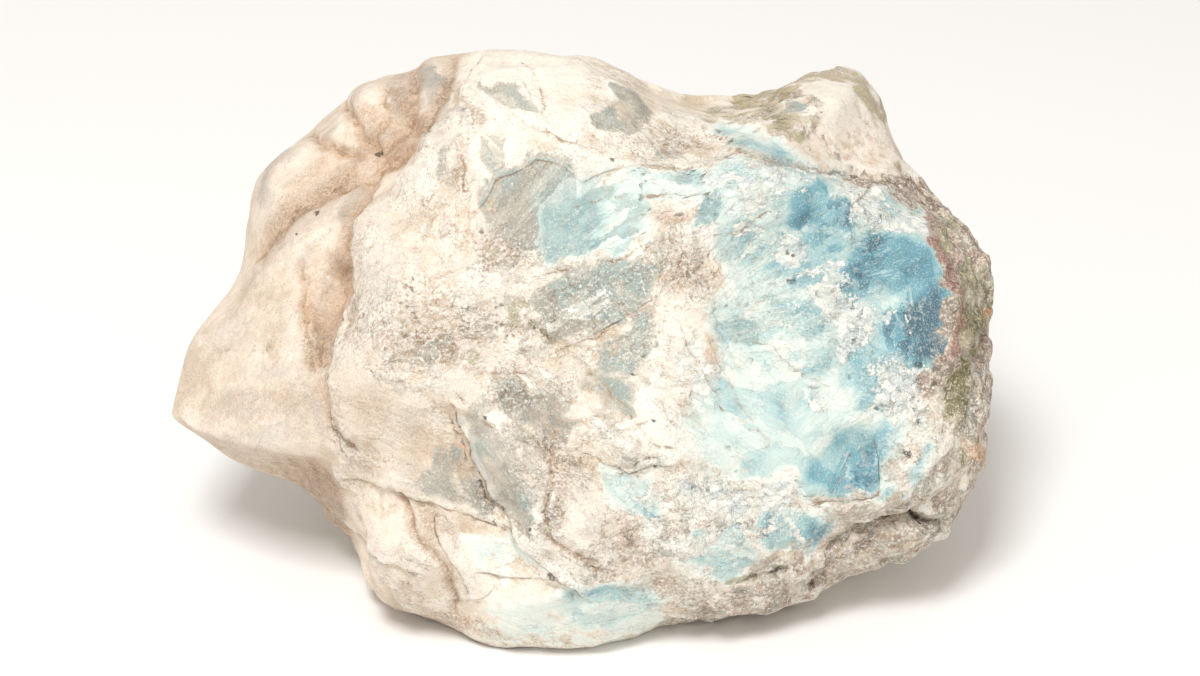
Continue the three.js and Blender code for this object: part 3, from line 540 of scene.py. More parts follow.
# The side to the left of each line, walking along it, lies lower. Line, drop, reach.
ledges = [
    ([(-31, -14), (-33, -10), (-33.4, -4), (-31.8, 1), (-30.4, 7), (-30.3, 11), (-30.6, 15.4),
      (-30.1, 18.3), (-25.3, 20.2), (-22.9, 25.4), (-21.5, 28.3), (-16.7, 30.7), (-15.3, 34.5),
      (-13.8, 37.4)], 1, 3.5),
    ([(16, 23.7), (9.3, 24), (6, 23.2), (3, 22.4), (0.4, 21.4), (-2.4, 23.4), (-5.4, 24), (-8, 22.6),
      (-10.6, 21.6), (-12.4, 19)], 0.6, 5),
    ([(8.5, 5.2), (3.9, 2.7), (1.3, 1.1), (-1.7, -0.3)], 0.7, 4),
    ([(-7.3, -26.8), (-9.2, -23.9), (-11.1, -21), (-13.5, -16.7), (-14.9, -12.4), (-16.3, -8.6)], 1.2, 2.6),
    ([(-0.1, -32.3), (-4.4, -28.9), (-8.2, -26), (-9.7, -24.4), (-14, -22.5), (-19.2, -20.6),
      (-24.5, -19.6), (-30, -17.9)], 1.1, 3.5),
    ([(-14.9, -31.5), (-16.3, -28.7), (-18.2, -25.3), (-19.2, -21)], 0.8, 2),
    ([(-22.1, -29.5), (-27, -28), (-30.5, -25.5)], 0.8, 3),
    ([(0, -32.3), (-4.4, -30.6), (-8.2, -30.1), (-12, -29.7)], 0.8, 3),
    ([(4, -29), (0, -28.4), (-2.5, -26.8), (-4, -23.1), (-4, -20.5)], 0.6, 2.5),
    ([(11, -15.7), (6.4, -16.5), (1.7, -14.5)], 0.9, 2.5),
    ([(32.3, -20.5), (36, -20.2), (38.9, -19.4), (38.9, -13.8)], 1.1, 4),
    ([(38.6, 21), (35.2, 17.4), (35.8, 15)], 0.6, 3),
    ([(48, -22.8), (44, -23.4), (39, -24.2), (36, -25.6)], 0.9, 3),
    ([(40, 23.9), (35, 23.9), (30, 24.3), (26, 24.8)], 0.6, 3),
    ([(-11, -30.6), (-11.8, -32.6), (-14.4, -33.6)], 0.5, 2),
]
# Dots: across, up, radius, depth.
dots = [
    (-27.9, 26.4, 0.5, 0.5), (-35.4, 18.3, 0.36, 0.3), (-38, 15, 0.22, 0.1), (-3.5, -30.2, 0.42, 0.6),
    (9.8, -9.6, 0.2, 0.1), (-7.8, -12.3, 0.2, 0.2), (-12.1, -9.3, 0.2, 0.2), (-5.9, 2, 0.26, 0.2),
    (7, -3.9, 0.25, 0.2), (-10.5, -21.4, 0.3, 0.3), (-6.3, -23.7, 0.28, 0.2), (43, -13.7, 0.45, 0.5),
    (31.3, -32.1, 0.5, 0.6), (4.6, 24.4, 0.25, 0.3), (9.8, -16.2, 0.35, 0.3), (27.4, 12.4, 0.3, 0.3),
    (28.2, 11.6, 0.25, 0.3), (45, -9.6, 0.3, 0.3),
]
fadeOut = {"crack": 0.8, "gully": 1.5, "ledge": 1.6}  # mm past the ends of a line

families = {}
for name in ("olive", "brown", "dark", "edge"):
    families[name] = {"side": np.full(count, 9.0), "fade": np.zeros(count)}


def keepLine(family, signed, fade):
    kept = families[family]
    fade = fade * ramp(-np.abs(signed), -1.9, -1.2)
    stronger = fade > kept["fade"]
    kept["side"] = np.where(stronger, signed, kept["side"])
    kept["fade"] = np.where(stronger, fade, kept["fade"])


def fading(past, kind):
    return np.exp(-((past / fadeOut[kind]) ** 2)) * front


relief = np.zeros(count)
unevenCrack = np.clip(0.75 + 0.5 * warpUp, 0.25, 1.3)
for line, halfWidth, sunk, family in cracks:
    signed, past = besideLine(line)
    fade = fading(past, "crack")
    relief -= sunk * unevenCrack * np.exp(-((signed / (halfWidth + 0.15)) ** 2)) * fade
    keepLine(family, signed / halfWidth, fade * np.clip(unevenCrack * 1.3, 0, 1))
# where the gullies run, for the painted shade laid along them
masks["gully"] = np.zeros(count)
for line, halfWidth, sunk in gullies:
    signed, past = besideLine(line)
    fade = fading(past, "gully") * ramp(facing, 0.0, 0.35)
    trough = np.exp(-((signed / halfWidth) ** 2)) * fade
    relief -= sunk * trough
    masks["gully"] = np.maximum(masks["gully"], trough)
    keepLine("brown", signed / 0.3, 0.7 * fade)
for *oval, rise in knobs:
    relief += rise * np.exp(-(ovalDistance(u, v, oval) ** 2)) * front
unevenLedge = np.clip(0.85 + 0.35 * warpAcross, 0.4, 1.2)
for line, drop, reach in ledges:
    signed, past = besideLine(line)
    fade = fading(past, "ledge") * unevenLedge
    cliff = ramp(signed, -0.22, 0.22)
    relief -= 0.75 * drop * cliff * np.exp(-np.maximum(signed, 0) / reach) * fade
    # its line gives the painted shadow below the ledge, the painted highlight on its rim, and the step in the
    # bump
    keepLine("edge", signed, np.clip(fade * drop, 0, 1))
# each dot is a pit, and its inside is painted dark: painted shade
masks["darkDot"] = np.zeros(count)
for dotAcross, dotUp, radius, sunk in dots:
    far = np.hypot(u + 0.4 * jagAcross - dotAcross, v + 0.4 * jagUp - dotUp) / radius
    masks["darkDot"] = np.maximum(masks["darkDot"], ramp(far, 1.5, 0.8) * front)
    relief -= sunk * np.exp(-(far ** 2)) * front
print("cracks:", len(cracks), "gullies:", len(gullies), "ledges:", len(ledges), "dots:", len(dots))

# Splintered blocks, each with its own direction of fibres: across, up, direction in degrees.
blocks = [
    (2, 5, 35), (3, 16, 32), (-7, 19, 50), (16, 11, 60), (26, 12, 40), (37, 12, 20), (31, 18.6, 50),
    (24, 28, -18), (27, 22.4, 14), (21, 20.4, 24), (44, 3, 100), (26, 2, 8), (24, -8, -20), (33, -10, 40),
    (37, -16, 60), (16, -6, -35), (7, -13, -38), (-6, -9, -48), (-11, -16, -54), (-14, -26, -40),
    (-5, -34, -15), (8, -34, 5), (8, -19, -45), (2, -23, -30), (18, -22, -8), (30, -25, 80), (42, -7, 70),
    (43, -19, 10), (-20, 3, 0), (-20, -12, -25), (-24, -27, -35), (-8, 31, -60), (3, 31, -20),
    (12, 25, -10), (-18, 20, 70), (-26, 8, 85), (-26, 28, 45), (-38, 22, 40), (-44, 2, 75), (36, 33, -15),
    (26, 31, -20), (50, 6, 90), (50, -10, 90),
]
splinters = {
    "fan": 45,  # mm behind each block where its fibres would meet
    "warp": 1.5,  # how much the borders between blocks bend
    "seam": (0.8, 3.2),  # mm over which the fibres die out at a border
}
blockAcross = u + splinters["warp"] * bendAcross
blockUp = v + splinters["warp"] * bendUp
gaps = np.array([np.hypot(blockAcross - block[0], blockUp - block[1]) for block in blocks])
nearest = gaps.argmin(axis=0)
blockPlace = np.array([block[:2] for block in blocks])[nearest]
blockTurn = np.radians(np.array([block[2] for block in blocks]))[nearest]
fromMeeting = u - (blockPlace[:, 0] - splinters["fan"] * np.cos(blockTurn))
upFromMeeting = v - (blockPlace[:, 1] - splinters["fan"] * np.sin(blockTurn))
angle = np.arctan2(upFromMeeting, fromMeeting)
around = np.remainder(angle - blockTurn + math.pi, 2 * math.pi) - math.pi
# along the fibres, across them, and into the stone, with a jump from block to block
fibre = np.stack([
    np.hypot(fromMeeting, upFromMeeting),
    around * splinters["fan"],
    depth * 0.6 + nearest * 9.3,
], axis=1)
blockGap = np.sort(gaps, axis=0)
inBlock = ramp(blockGap[1] - blockGap[0], *splinters["seam"])
masks["inBlock"] = inBlock

# The bowls of each surface: spacing in mm, seed, slope, lift, hollow, and how much they are raised again.
bowls = {
    "flats": (9, 1, 1.1, 0.5, 1.0, 0.2),
    "chips": (3.6, 2, 0.5, 0.35, 0.45, 0.1),
    "splinters": ((11, 2.6, 4), 3, 0.5, 0.4, 0.5, 0.1),
    "crumbs": (1.35, 4, 0.2, 0.22, 0.3, 0.2),
    "rindGrains": (2.6, 5, 0.5, 0.4, 0.9, -0.1),
}
# How strongly each shows, in mm for the last three.
surface = {
    "flats": 1, "chips": 0.75, "splinters": 0.6, "crumbs": 0.75,
    "rindPits": 0.8, "windows": 0.25, "worn": 0.35,
}


def bowlsAt(where, name):
    *shape, raised = bowls[name]
    return scoops(where, *shape) + raised


crumbs = ramp(masks["whiteCrust"], 0.5, 1) * (1 - worn)
rind = np.clip(1.3 * np.maximum(masks["mauveRind"], 0.5 * masks["humpRim"]), 0, 1)
windows = ramp(np.maximum(masks["greyWindow"], masks["blueStone"]), 0.2, 0.7) * (1 - rind)
splintered = np.maximum(windows, 0.8 * (1 - worn) * (1 - rind)) * inBlock
crumbled = np.maximum(surface["crumbs"] * crumbs, 0.6 * np.clip(2 * broken - 1, 0, 1))
flatsWhere = spots + 1.6 * np.stack([waves(5, seed) for seed in (91.0, 92.5, 94.0)], axis=1)
relief += surface["flats"] * bowlsAt(flatsWhere, "flats") * (1 - 0.8 * worn)
relief += bowlsAt(flatsWhere, "chips") * (0.15 + surface["chips"] * broken)
relief += surface["splinters"] * bowlsAt(fibre, "splinters") * splintered
relief += bowlsAt(spots, "crumbs") * crumbled
relief -= (bowlsAt(spots, "rindGrains") + surface["rindPits"] * ramp(waves(3.6, 17.0), 0.15, 0.5)) * rind
relief -= surface["windows"] * windows
relief += surface["worn"] * waves(9, 5.0, 2) * worn
places += normals * (relief - stoneMesh["shrinkBack"])[:, None] * mm
places = np.clip(places, np.array(low), np.array(high))  # it rests where the solid does, and stays in its box
mesh.vertices.foreach_set("co", places.ravel())
mesh.update()
for polygon in mesh.polygons:
    polygon.use_smooth = True
print("relief from", round(relief.min(), 2), "to", round(relief.max(), 2), "mm")

edges = np.empty(len(mesh.edges) * 2, dtype=np.int64)
mesh.edges.foreach_get("vertices", edges)
edges = edges.reshape(-1, 2)
shares = np.bincount(edges.ravel(), minlength=count)[:, None]
freshNormals = readPoints("normal")


def blurred(values, rounds):
    for _ in range(rounds):
        total = np.zeros_like(values)
        for axis in range(values.shape[1]):
            total[:, axis] = (np.bincount(edges[:, 0], values[edges[:, 1], axis], count)
                              + np.bincount(edges[:, 1], values[edges[:, 0], axis], count))
        values = total / shares
    return values


def hollows(rounds, full):
    # how far a point lies below the stone around it: 1 at so many millimetres, and -1 on a crest
    sunk = ((blurred(places, rounds) - places) * freshNormals).sum(axis=1) / mm
    return np.clip(sunk / full, -1, 1)


def giveAttribute(name, values, kind="FLOAT", field="value"):
    attribute = mesh.attributes.new(name, kind, "POINT")
    attribute.data.foreach_set(field, np.ascontiguousarray(values, dtype=np.float32).ravel())


masks["hollowFine"] = hollows(4, 0.12)
masks["hollowWide"] = hollows(40, 0.7)
masks["broad"] = 0.5 + 0.5 * waves(11, 61.0, 2)
masks["patch"] = 0.5 + 0.42 * waves(3.5, 67.0, 3)
for name, kept in families.items():
    masks[name + "Side"] = kept["side"]
    masks[name + "Fade"] = kept["fade"]
for name, values in masks.items():
    giveAttribute(name, values)
for name, values in (("fibre", fibre), ("drift", drift)):
    giveAttribute(name, values, "FLOAT_VECTOR", "vector")
print("attributes:", len(masks) + 2)


def colourOf(code):
    parts = [int(code[i:i + 2], 16) / 255 for i in (1, 3, 5)]
    return tuple(c / 12.92 if c <= 0.04045 else ((c + 0.055) / 1.055) ** 2.4 for c in parts) + (1,)


def setInput(tree, socket, value):
    if isinstance(value, bpy.types.NodeSocket):
        tree.links.new(value, socket)
    else:
        socket.default_value = value


def addNode(tree, kind, inputs=None, **settings):
    node = tree.nodes.new(kind)
    for name, value in settings.items():
        setattr(node, name, value)
    for name, value in (inputs or {}).items():
        setInput(tree, node.inputs[name], value)
    return node


def maths(tree, operation, a, b=None, clamp=False):
    node = addNode(tree, "ShaderNodeMath", {0: a}, operation=operation, use_clamp=clamp)
    if b is not None:
        setInput(tree, node.inputs[1], b)
    return node.outputs[0]


def vectorMaths(tree, operation, a, b=None, scale=None):
    node = addNode(tree, "ShaderNodeVectorMath", {0: a}, operation=operation)
    if b is not None:
        setInput(tree, node.inputs[1], b)
    if scale is not None:
        setInput(tree, node.inputs["Scale"], scale)
    return node.outputs["Value" if operation == "DOT_PRODUCT" else "Vector"]


def step(tree, value, start, end, low=0.0, high=1.0):
    inputs = {"Value": value, "From Min": start, "From Max": end, "To Min": low, "To Max": high}
    return addNode(tree, "ShaderNodeMapRange", inputs, interpolation_type="SMOOTHSTEP").outputs[0]


def noiseAt(tree, place, scale, detail, roughness=0.55, output="Fac"):
    inputs = {"Vector": place, "Scale": scale, "Detail": detail, "Roughness": roughness}
    return addNode(tree, "ShaderNodeTexNoise", inputs).outputs[output]


def newGroup(name, places, values, results):
    # places are its vector inputs, values its number inputs with what they start at
    group = bpy.data.node_groups.new(name, "ShaderNodeTree")
    for socketName in places:
        group.interface.new_socket(socketName, in_out="INPUT", socket_type="NodeSocketVector")
    for socketName, value in values.items():
        socket = group.interface.new_socket(socketName, in_out="INPUT", socket_type="NodeSocketFloat")
        socket.default_value = value
    for socketName in results:
        group.interface.new_socket(socketName, in_out="OUTPUT", socket_type="NodeSocketFloat")
    return group, group.nodes.new("NodeGroupInput").outputs, group.nodes.new("NodeGroupOutput").inputs


def makeRaggedEdge():
    # a mask whose edge wanders
    values = {"Mask": 0.0, "Wander": 0.5, "Raggedness": 0.5, "Softness": 0.1}
    group, given, made = newGroup("ragged edge", [], values, ["Mask"])
    shift = maths(group, "MULTIPLY", maths(group, "SUBTRACT", given["Wander"], 0.5), given["Raggedness"])
    edge = maths(group, "ADD", given["Mask"], shift)
    lowEnd = maths(group, "SUBTRACT", 0.5, given["Softness"])
    highEnd = maths(group, "ADD", 0.5, given["Softness"])
    present = step(group, given["Mask"], 0.02, 0.25)
    setInput(group, made["Mask"], maths(group, "MULTIPLY", step(group, edge, lowEnd, highEnd), present))
    return group


def makeFibres():
    # streaks drawn out along the fibres, and thin threads between them
    values = {"Fineness": 1.0, "Contrast": 1.0}
    group, given, made = newGroup("fibres", ["Fibre"], values, ["Streak", "Thin"])
    wide = vectorMaths(group, "MULTIPLY", given["Fibre"], (0.12, 1.0, 0.35))
    wide = noiseAt(group, wide, given["Fineness"], 3.0, 0.6)
    thin = vectorMaths(group, "MULTIPLY", given["Fibre"], (0.3, 3.2, 1.0))
    thin = noiseAt(group, thin, given["Fineness"], 2.0, 0.6)
    both = maths(group, "ADD", maths(group, "MULTIPLY", wide, 0.65), maths(group, "MULTIPLY", thin, 0.35))
    centred = maths(group, "MULTIPLY", maths(group, "SUBTRACT", both, 0.5), given["Contrast"])
    setInput(group, made["Streak"], maths(group, "ADD", centred, 0.5, clamp=True))
    setInput(group, made["Thin"], thin)
    return group


def makeSpecks():
    # round grains in a share of the cells
    values = {"Scale": 1.0, "Share": 0.2, "Size": 0.3}
    group, given, made = newGroup("specks", ["Place"], values, ["Mask"])
    grain = addNode(group, "ShaderNodeTexVoronoi", {"Vector": given["Place"], "Scale": given["Scale"]})
    pick = addNode(group, "ShaderNodeSeparateColor", {0: grain.outputs["Color"]})
    chosen = maths(group, "LESS_THAN", pick.outputs[0], given["Share"])
    size = maths(group, "MULTIPLY", given["Size"], maths(group, "ADD", pick.outputs[1], 0.4))
    inside = step(group, maths(group, "DIVIDE", grain.outputs["Distance"], size), 1.0, 0.7)
    setInput(group, made["Mask"], maths(group, "MULTIPLY", inside, chosen))
    return group


def makePlates():
    # cells with a tone, a second random value, a slope of their own, a line round them and a soft rim
    results = ["Tone", "Pick", "Tilt", "Edge", "Rim"]
    group, given, made = newGroup("broken plates", ["Place"], {"Scale": 1.0, "Gap": 0.08}, results)
    where = {"Vector": given["Place"], "Scale": given["Scale"]}
    plate = addNode(group, "ShaderNodeTexVoronoi", where)
    side = addNode(group, "ShaderNodeTexVoronoi", where, feature="DISTANCE_TO_EDGE")
    pick = addNode(group, "ShaderNodeSeparateColor", {0: plate.outputs["Color"]})
    off = vectorMaths(group, "SUBTRACT", given["Place"], plate.outputs["Position"])
    slope = vectorMaths(group, "SUBTRACT", plate.outputs["Color"], (0.5, 0.5, 0.5))
    setInput(group, made["Tone"], pick.outputs[0])
    setInput(group, made["Pick"], pick.outputs[2])
    setInput(group, made["Tilt"], vectorMaths(group, "DOT_PRODUCT", off, slope))
    setInput(group, made["Edge"], step(group, side.outputs["Distance"], given["Gap"], 0.0))
    setInput(group, made["Rim"], step(group, plate.outputs["Distance"], 0.42, 0.66))
    return group


def makeThinLine():
    # a crack's line that bends a little and breaks off in places
    values = {"Side": 9.0, "Strength": 0.0, "Wander": 0.5, "Amount": 0.5, "Width": 1.0, "Breaks": 0.5}
    group, given, made = newGroup("thin line", [], values, ["Mask"])
    bend = maths(group, "MULTIPLY", maths(group, "SUBTRACT", given["Wander"], 0.5), given["Amount"])
    off = maths(group, "ABSOLUTE", maths(group, "ADD", given["Side"], bend))
    inner = maths(group, "MULTIPLY", given["Width"], 0.35)
    inputs = {"Value": off, "From Min": given["Width"], "From Max": inner, "To Min": 0.0, "To Max": 1.0}
    line = addNode(group, "ShaderNodeMapRange", inputs).outputs[0]
    whole = step(group, given["Breaks"], 0.38, 0.55, 0.2, 1.0)
    line = maths(group, "MULTIPLY", line, whole)
    setInput(group, made["Mask"], maths(group, "MULTIPLY", line, given["Strength"]))
    return group


groups = {
    "ragged": makeRaggedEdge(),
    "fibres": makeFibres(),
    "specks": makeSpecks(),
    "plates": makePlates(),
    "line": makeThinLine(),
}


def useGroup(tree, name, inputs):
    node = addNode(tree, "ShaderNodeGroup", node_tree=groups[name])
    for socketName, value in inputs.items():
        setInput(tree, node.inputs[socketName], value)
    return node.outputs


larimarLook = {
    # spacing in mm
    "grains": {
        "large": 5.2, "speck": 2.2, "splinter": 1.5, "small": 1.3, "crumb": 0.95, "close": 0.9, "fine": 0.42,
        "grit": 0.2,
    },
    "roughness": (0.5, 0.8),
    "specular": 0.35,
    "tones": {
        "creamPale": "#faf3e6", "cream": "#f2e7d6", "creamDeep": "#decdb5", "greyCream": "#d2cabb",
        "pinkPale": "#eee0cd", "pink": "#e2cfb9", "pinkDeep": "#d3beaa",
        "coldPale": "#f7f8ef", "cold": "#ebeee4", "coldDeep": "#d6dccf", "ice": "#b4c9cd", "crust": "#fbfaf2",
        # under is the painted shade of the stone where it turns under
        "greyWindow": "#9f9c92", "greyBlue": "#98aaa5", "band": "#bcb3a8",
        "tan": "#ceb498", "rust": "#bb865c", "brown": "#8f6e52", "under": "#a38973", "dark": "#3f3931",
        "mauvePale": "#e3d3bf", "mauve": "#b9a392", "mauveDark": "#917d6d",
        "olivePale": "#c0b998", "olive": "#a19963", "oliveDark": "#736c43",
        "red": "#975f52", "orange": "#d29f6e",
    },
    "blueScale": [
        (0.17, "#f3f4ea"), (0.36, "#dfece5"), (0.48, "#c2dad7"), (0.6, "#a4c8cb"), (0.71, "#7eb0bb"),
        (0.83, "#6395a5"), (0.97, "#4f6f7c"),
    ],
    # wander, raggedness and softness of its edge, and how strongly it covers
    "edges": {
        "paleWear": (3, 0.6, 0.5, 0.75), "tanStain": (3, 1.0, 0.4, 0.6), "greyBand": (4, 0.7, 0.45, 0.8),
        "mauveRind": (2, 1.0, 0.12, 1.0), "darkRind": (0, 1.0, 0.2, 0.9), "humpRim": (0, 0.9, 0.3, 0.75),
        "oliveRind": (1, 1.2, 0.3, 0.85), "redVein": (2, 0.9, 0.35, 0.6), "orangeStain": (3, 0.8, 0.4, 0.7),
    },
    # family of cracks, wander, width, bend, shift to the side, strength, tone
    "lines": [
        # the two ledge lines: a pale rim on the upper side is painted highlight, a brown line on the lower side
        # is painted shadow under the ledge
        ("edge", 1, 0.5, 0.5, -0.6, 0.3, "crust"), ("edge", 0, 0.2, 0.4, 0.1, 0.75, "brown"),
        ("brown", 1, 1.1, 2.6, 0, 0.8, "brown"), ("olive", 0, 1.1, 2.0, 0, 0.85, "oliveDark"),
        # painted shadow, near black, in the deepest cracks and the gaps under ledges
        ("dark", 4, 1.0, 1.6, 0, 0.85, "dark"),
    ],
    # heights in mm
    "heights": {
        "plates": 0.4, "splinters": 0.95, "patch": 0.35, "small": 0.22, "fine": 0.11, "threads": 0.02,
        "streaks": 0.1, "crumbs": 0.8, "ledges": 0.22,
    },
}


def makeLarimar(look):
    material = bpy.data.materials.new("raw larimar")
    material.use_nodes = True
    tree = material.node_tree
    shader = tree.nodes["Principled BSDF"]
    tones = {name: colourOf(code) for name, code in look["tones"].items()}
    place = addNode(tree, "ShaderNodeTexCoord").outputs["Object"]
    mask = {name: addNode(tree, "ShaderNodeAttribute", attribute_name=name).outputs["Fac"] for name in masks}
    fibreVector = addNode(tree, "ShaderNodeAttribute", attribute_name="fibre").outputs["Vector"]
    driftVector = addNode(tree, "ShaderNodeAttribute", attribute_name="drift").outputs["Vector"]
    spacing = look["grains"]
    perMm = 1 / mm

    def times(first, *others):
        for other in others:
            first = maths(tree, "MULTIPLY", first, other)
        return first

    def plus(first, *others):
        for other in others:
            first = maths(tree, "ADD", first, other)
        return first

    def less(a, b):
        return maths(tree, "SUBTRACT", a, b)

    def swing(value, reach):
        # evens out to nothing, half of the reach up or down
        return times(less(value, 0.5), reach)

    def rise(value, start, end, low=0.0, high=1.0):
        # low before the start, high past the end, smooth between them
        return step(tree, value, start, end, low, high)

    def vector(operation, a, b=None, scale=None):
        return vectorMaths(tree, operation, a, b, scale)

    def blend(share, under, over):
        under, over = (tones[tone] if isinstance(tone, str) else tone for tone in (under, over))
        return addNode(tree, "ShaderNodeMix", {0: share, 6: under, 7: over}, data_type="RGBA").outputs[2]

    def lay(colour, *layers):
        # one layer over another: how much of it shows, and its tone
        for share, tone in layers:
            colour = blend(share, colour, tone)
        return colour

    # six wanders, shared by every edge
    close = noiseAt(tree, place, perMm / spacing["close"], 2.0, 0.62, "Color")
    lifted = vector("MULTIPLY_ADD", driftVector, (0.55, 0.55, 0.55))
    setInput(tree, lifted.node.inputs[2], (0.25, 0.25, 0.25))
    mixed = vector("ADD", lifted, vector("SCALE", close, scale=0.5))
    wander = []
    for source in (mixed, close):
        wander += addNode(tree, "ShaderNodeSeparateXYZ", {0: source}).outputs
    bent = vector("ADD", place, vector("SCALE", driftVector, scale=0.9 * mm))
    bent = vector("ADD", bent, vector("SCALE", vector("SUBTRACT", close, (0.5, 0.5, 0.5)), scale=1.1 * mm))

    def ragged(name):
        channel, raggedness, softness, strength = look["edges"][name]
        given = {"Mask": mask[name], "Wander": wander[channel], "Raggedness": raggedness, "Softness": softness}
        return times(useGroup(tree, "ragged", given)["Mask"], strength)

    def thinLine(family, channel, width, bend, shift, strength):
        given = {
            "Side": less(mask[family + "Side"], shift), "Strength": mask[family + "Fade"],
            "Wander": wander[channel], "Amount": bend, "Width": width, "Breaks": wander[2],
        }
        return times(useGroup(tree, "line", given)["Mask"], strength)

    # grains of every size
    inBlock, broken, broad, patch = mask["inBlock"], mask["broken"], mask["broad"], mask["patch"]
    streaks = useGroup(tree, "fibres", {"Fibre": fibreVector, "Fineness": 1.0, "Contrast": 2.4})
    streak, thread = streaks["Streak"], streaks["Thin"]
    small = noiseAt(tree, place, perMm / spacing["small"], 2.0, 0.6)
    fine = noiseAt(tree, place, perMm / spacing["fine"], 2.0, 0.65)
    grit = noiseAt(tree, place, perMm / spacing["grit"], 1.0)
    large = useGroup(tree, "plates", {"Place": bent, "Scale": perMm / spacing["large"], "Gap": 0.05})
    along = vector("ADD", vector("MULTIPLY", fibreVector, (0.3, 1.0, 0.6)), vector("SCALE", close, scale=1.2))
    splinter = useGroup(tree, "plates", {"Place": along, "Scale": 1 / spacing["splinter"], "Gap": 0.09})
    turned = {"Vector": bent, "Rotation": (0.0, math.radians(-18), 0.0), "Scale": (0.55, 1.0, 1.0)}
    turned = addNode(tree, "ShaderNodeMapping", turned).outputs[0]
    crumb = useGroup(tree, "plates", {"Place": turned, "Scale": perMm / spacing["crumb"], "Gap": 0.12})
    splinterTone = plus(swing(splinter["Tone"], inBlock), 0.5)
    splinterPick = times(splinter["Pick"], inBlock)
    splinterEdge = times(splinter["Edge"], inBlock)
    # how far each point sinks below the stone around it, for the painted shade in the hollows and the painted
    # highlight on the crests
    hollow = plus(times(mask["hollowFine"], 0.6), times(mask["hollowWide"], 0.6))

    # cream stone in broken plates, pinker at the worn end, colder among the blue, with painted highlight on its
    # crests
    mottle = plus(times(large["Tone"], 0.24), times(splinterTone, 0.54), times(patch, 0.34))
    plain = less(plus(times(broad, 0.75), times(patch, 0.4), swing(small, 0.6)), 0.08)
    mottle = addNode(tree, "ShaderNodeMix", {0: rise(broken, 0.0, 0.4), 2: plain, 3: mottle}).outputs[0]
    lows, highs = rise(mottle, 0.3, 0.52), rise(mottle, 0.46, 0.72)

    def threeTones(name):
        return blend(highs, blend(lows, name + "Deep", name), name + "Pale")

    splintered = times(rise(broken, 0.1, 0.4), inBlock)
    colour = lay(
        threeTones("cream"),
        (times(mask["warm"], 0.8), threeTones("pink")),
        (times(mask["cool"], 0.75), threeTones("cold")),
        (times(rise(splinterPick, 0.74, 0.8, 0.0, 0.6), broken), "greyCream"),
        (times(rise(fine, 0.5, 0.6, 0.0, 0.35), broken), "creamDeep"),
        (times(rise(crumb["Tone"], 0.55, 0.7), rise(broken, 0.6, 1.0, 0.0, 0.6)), "creamPale"),
        # painted shade in the gaps round the crumbs, in brown
        (times(crumb["Rim"], rise(small, 0.42, 0.58), rise(broken, 0.55, 1.0, 0.0, 0.4)), "brown"),
        (times(rise(streak, 0.52, 0.9, 0.0, 0.6), splintered), "greyCream"),
        (times(rise(streak, 0.46, 0.14, 0.0, 0.6), splintered), "creamPale"),
        # painted highlight: crests that stand above the stone around them turn paler, less so at the warm end
        (times(rise(hollow, -0.15, -0.8, 0.0, 0.5), rise(mask["warm"], 0.2, 1.0, 1.0, 0.35)), "crust"),
        (ragged("paleWear"), "creamPale"),
    )

    # translucent grey windows
    flecks = plus(times(fine, 0.65), times(thread, 0.35))
    flecks = times(rise(flecks, 0.585, 0.62), rise(patch, 0.45, 0.65, 0.15, 1.0))
    clearness = plus(mask["greyWindow"], swing(wander[0], 0.4), swing(patch, 0.4), swing(splinterTone, 0.45))
    window = lay(
        "greyWindow",
        (rise(plus(broad, times(mask["cool"], 0.5)), 0.4, 0.56), "greyBlue"),
        (rise(clearness, 0.84, 0.42), "greyCream"),
        (times(rise(streak, 0.56, 0.85, 0.0, 0.22), inBlock), "creamPale"),
        (rise(splinterTone, 0.6, 0.66, 0.0, 0.35), "greyCream"),
        (times(flecks, 0.55), "creamPale"),
    )
    windowMask = times(rise(clearness, 0.35, 0.48), rise(mask["greyWindow"], 0.02, 0.2))

    # turquoise to deep blue on one scale, each facet a little paler or deeper
    facets = plus(
        swing(large["Tone"], 0.2),
        swing(splinterTone, 0.28),
        swing(patch, 0.3),
        swing(streak, times(inBlock, -0.16)),
    )
    blueness = plus(mask["blueStone"], times(facets, rise(mask["blueStone"], 0.1, 0.5)))
    scale = addNode(tree, "ShaderNodeValToRGB", {"Fac": times(blueness, 0.85)})
    stops = scale.color_ramp.elements
    while len(stops) < len(look["blueScale"]):
        stops.new(0.5)
    for stop, (position, code) in zip(stops, look["blueScale"]):
        stop.position, stop.color = position, colourOf(code)
    blue = lay(
        scale.outputs[0],
        (times(windowMask, 0.5), "greyBlue"),
        (times(rise(streak, 0.64, 0.95), inBlock, 0.38), "cold"),
        (times(flecks, 0.35), "crust"),
        (times(splinterEdge, rise(small, 0.48, 0.58, 0.0, 0.32)), "cold"),
    )
    frayed = plus(mask["blueStone"], swing(wander[1], 0.4), swing(splinterTone, 0.24))
    blueMask = times(rise(frayed, 0.18, 0.27), rise(mask["blueStone"], 0.0, 0.15))
    notBlue = less(1.0, times(blueMask, rise(mask["blueStone"], 0.3, 0.7, 0.5, 0.9)))

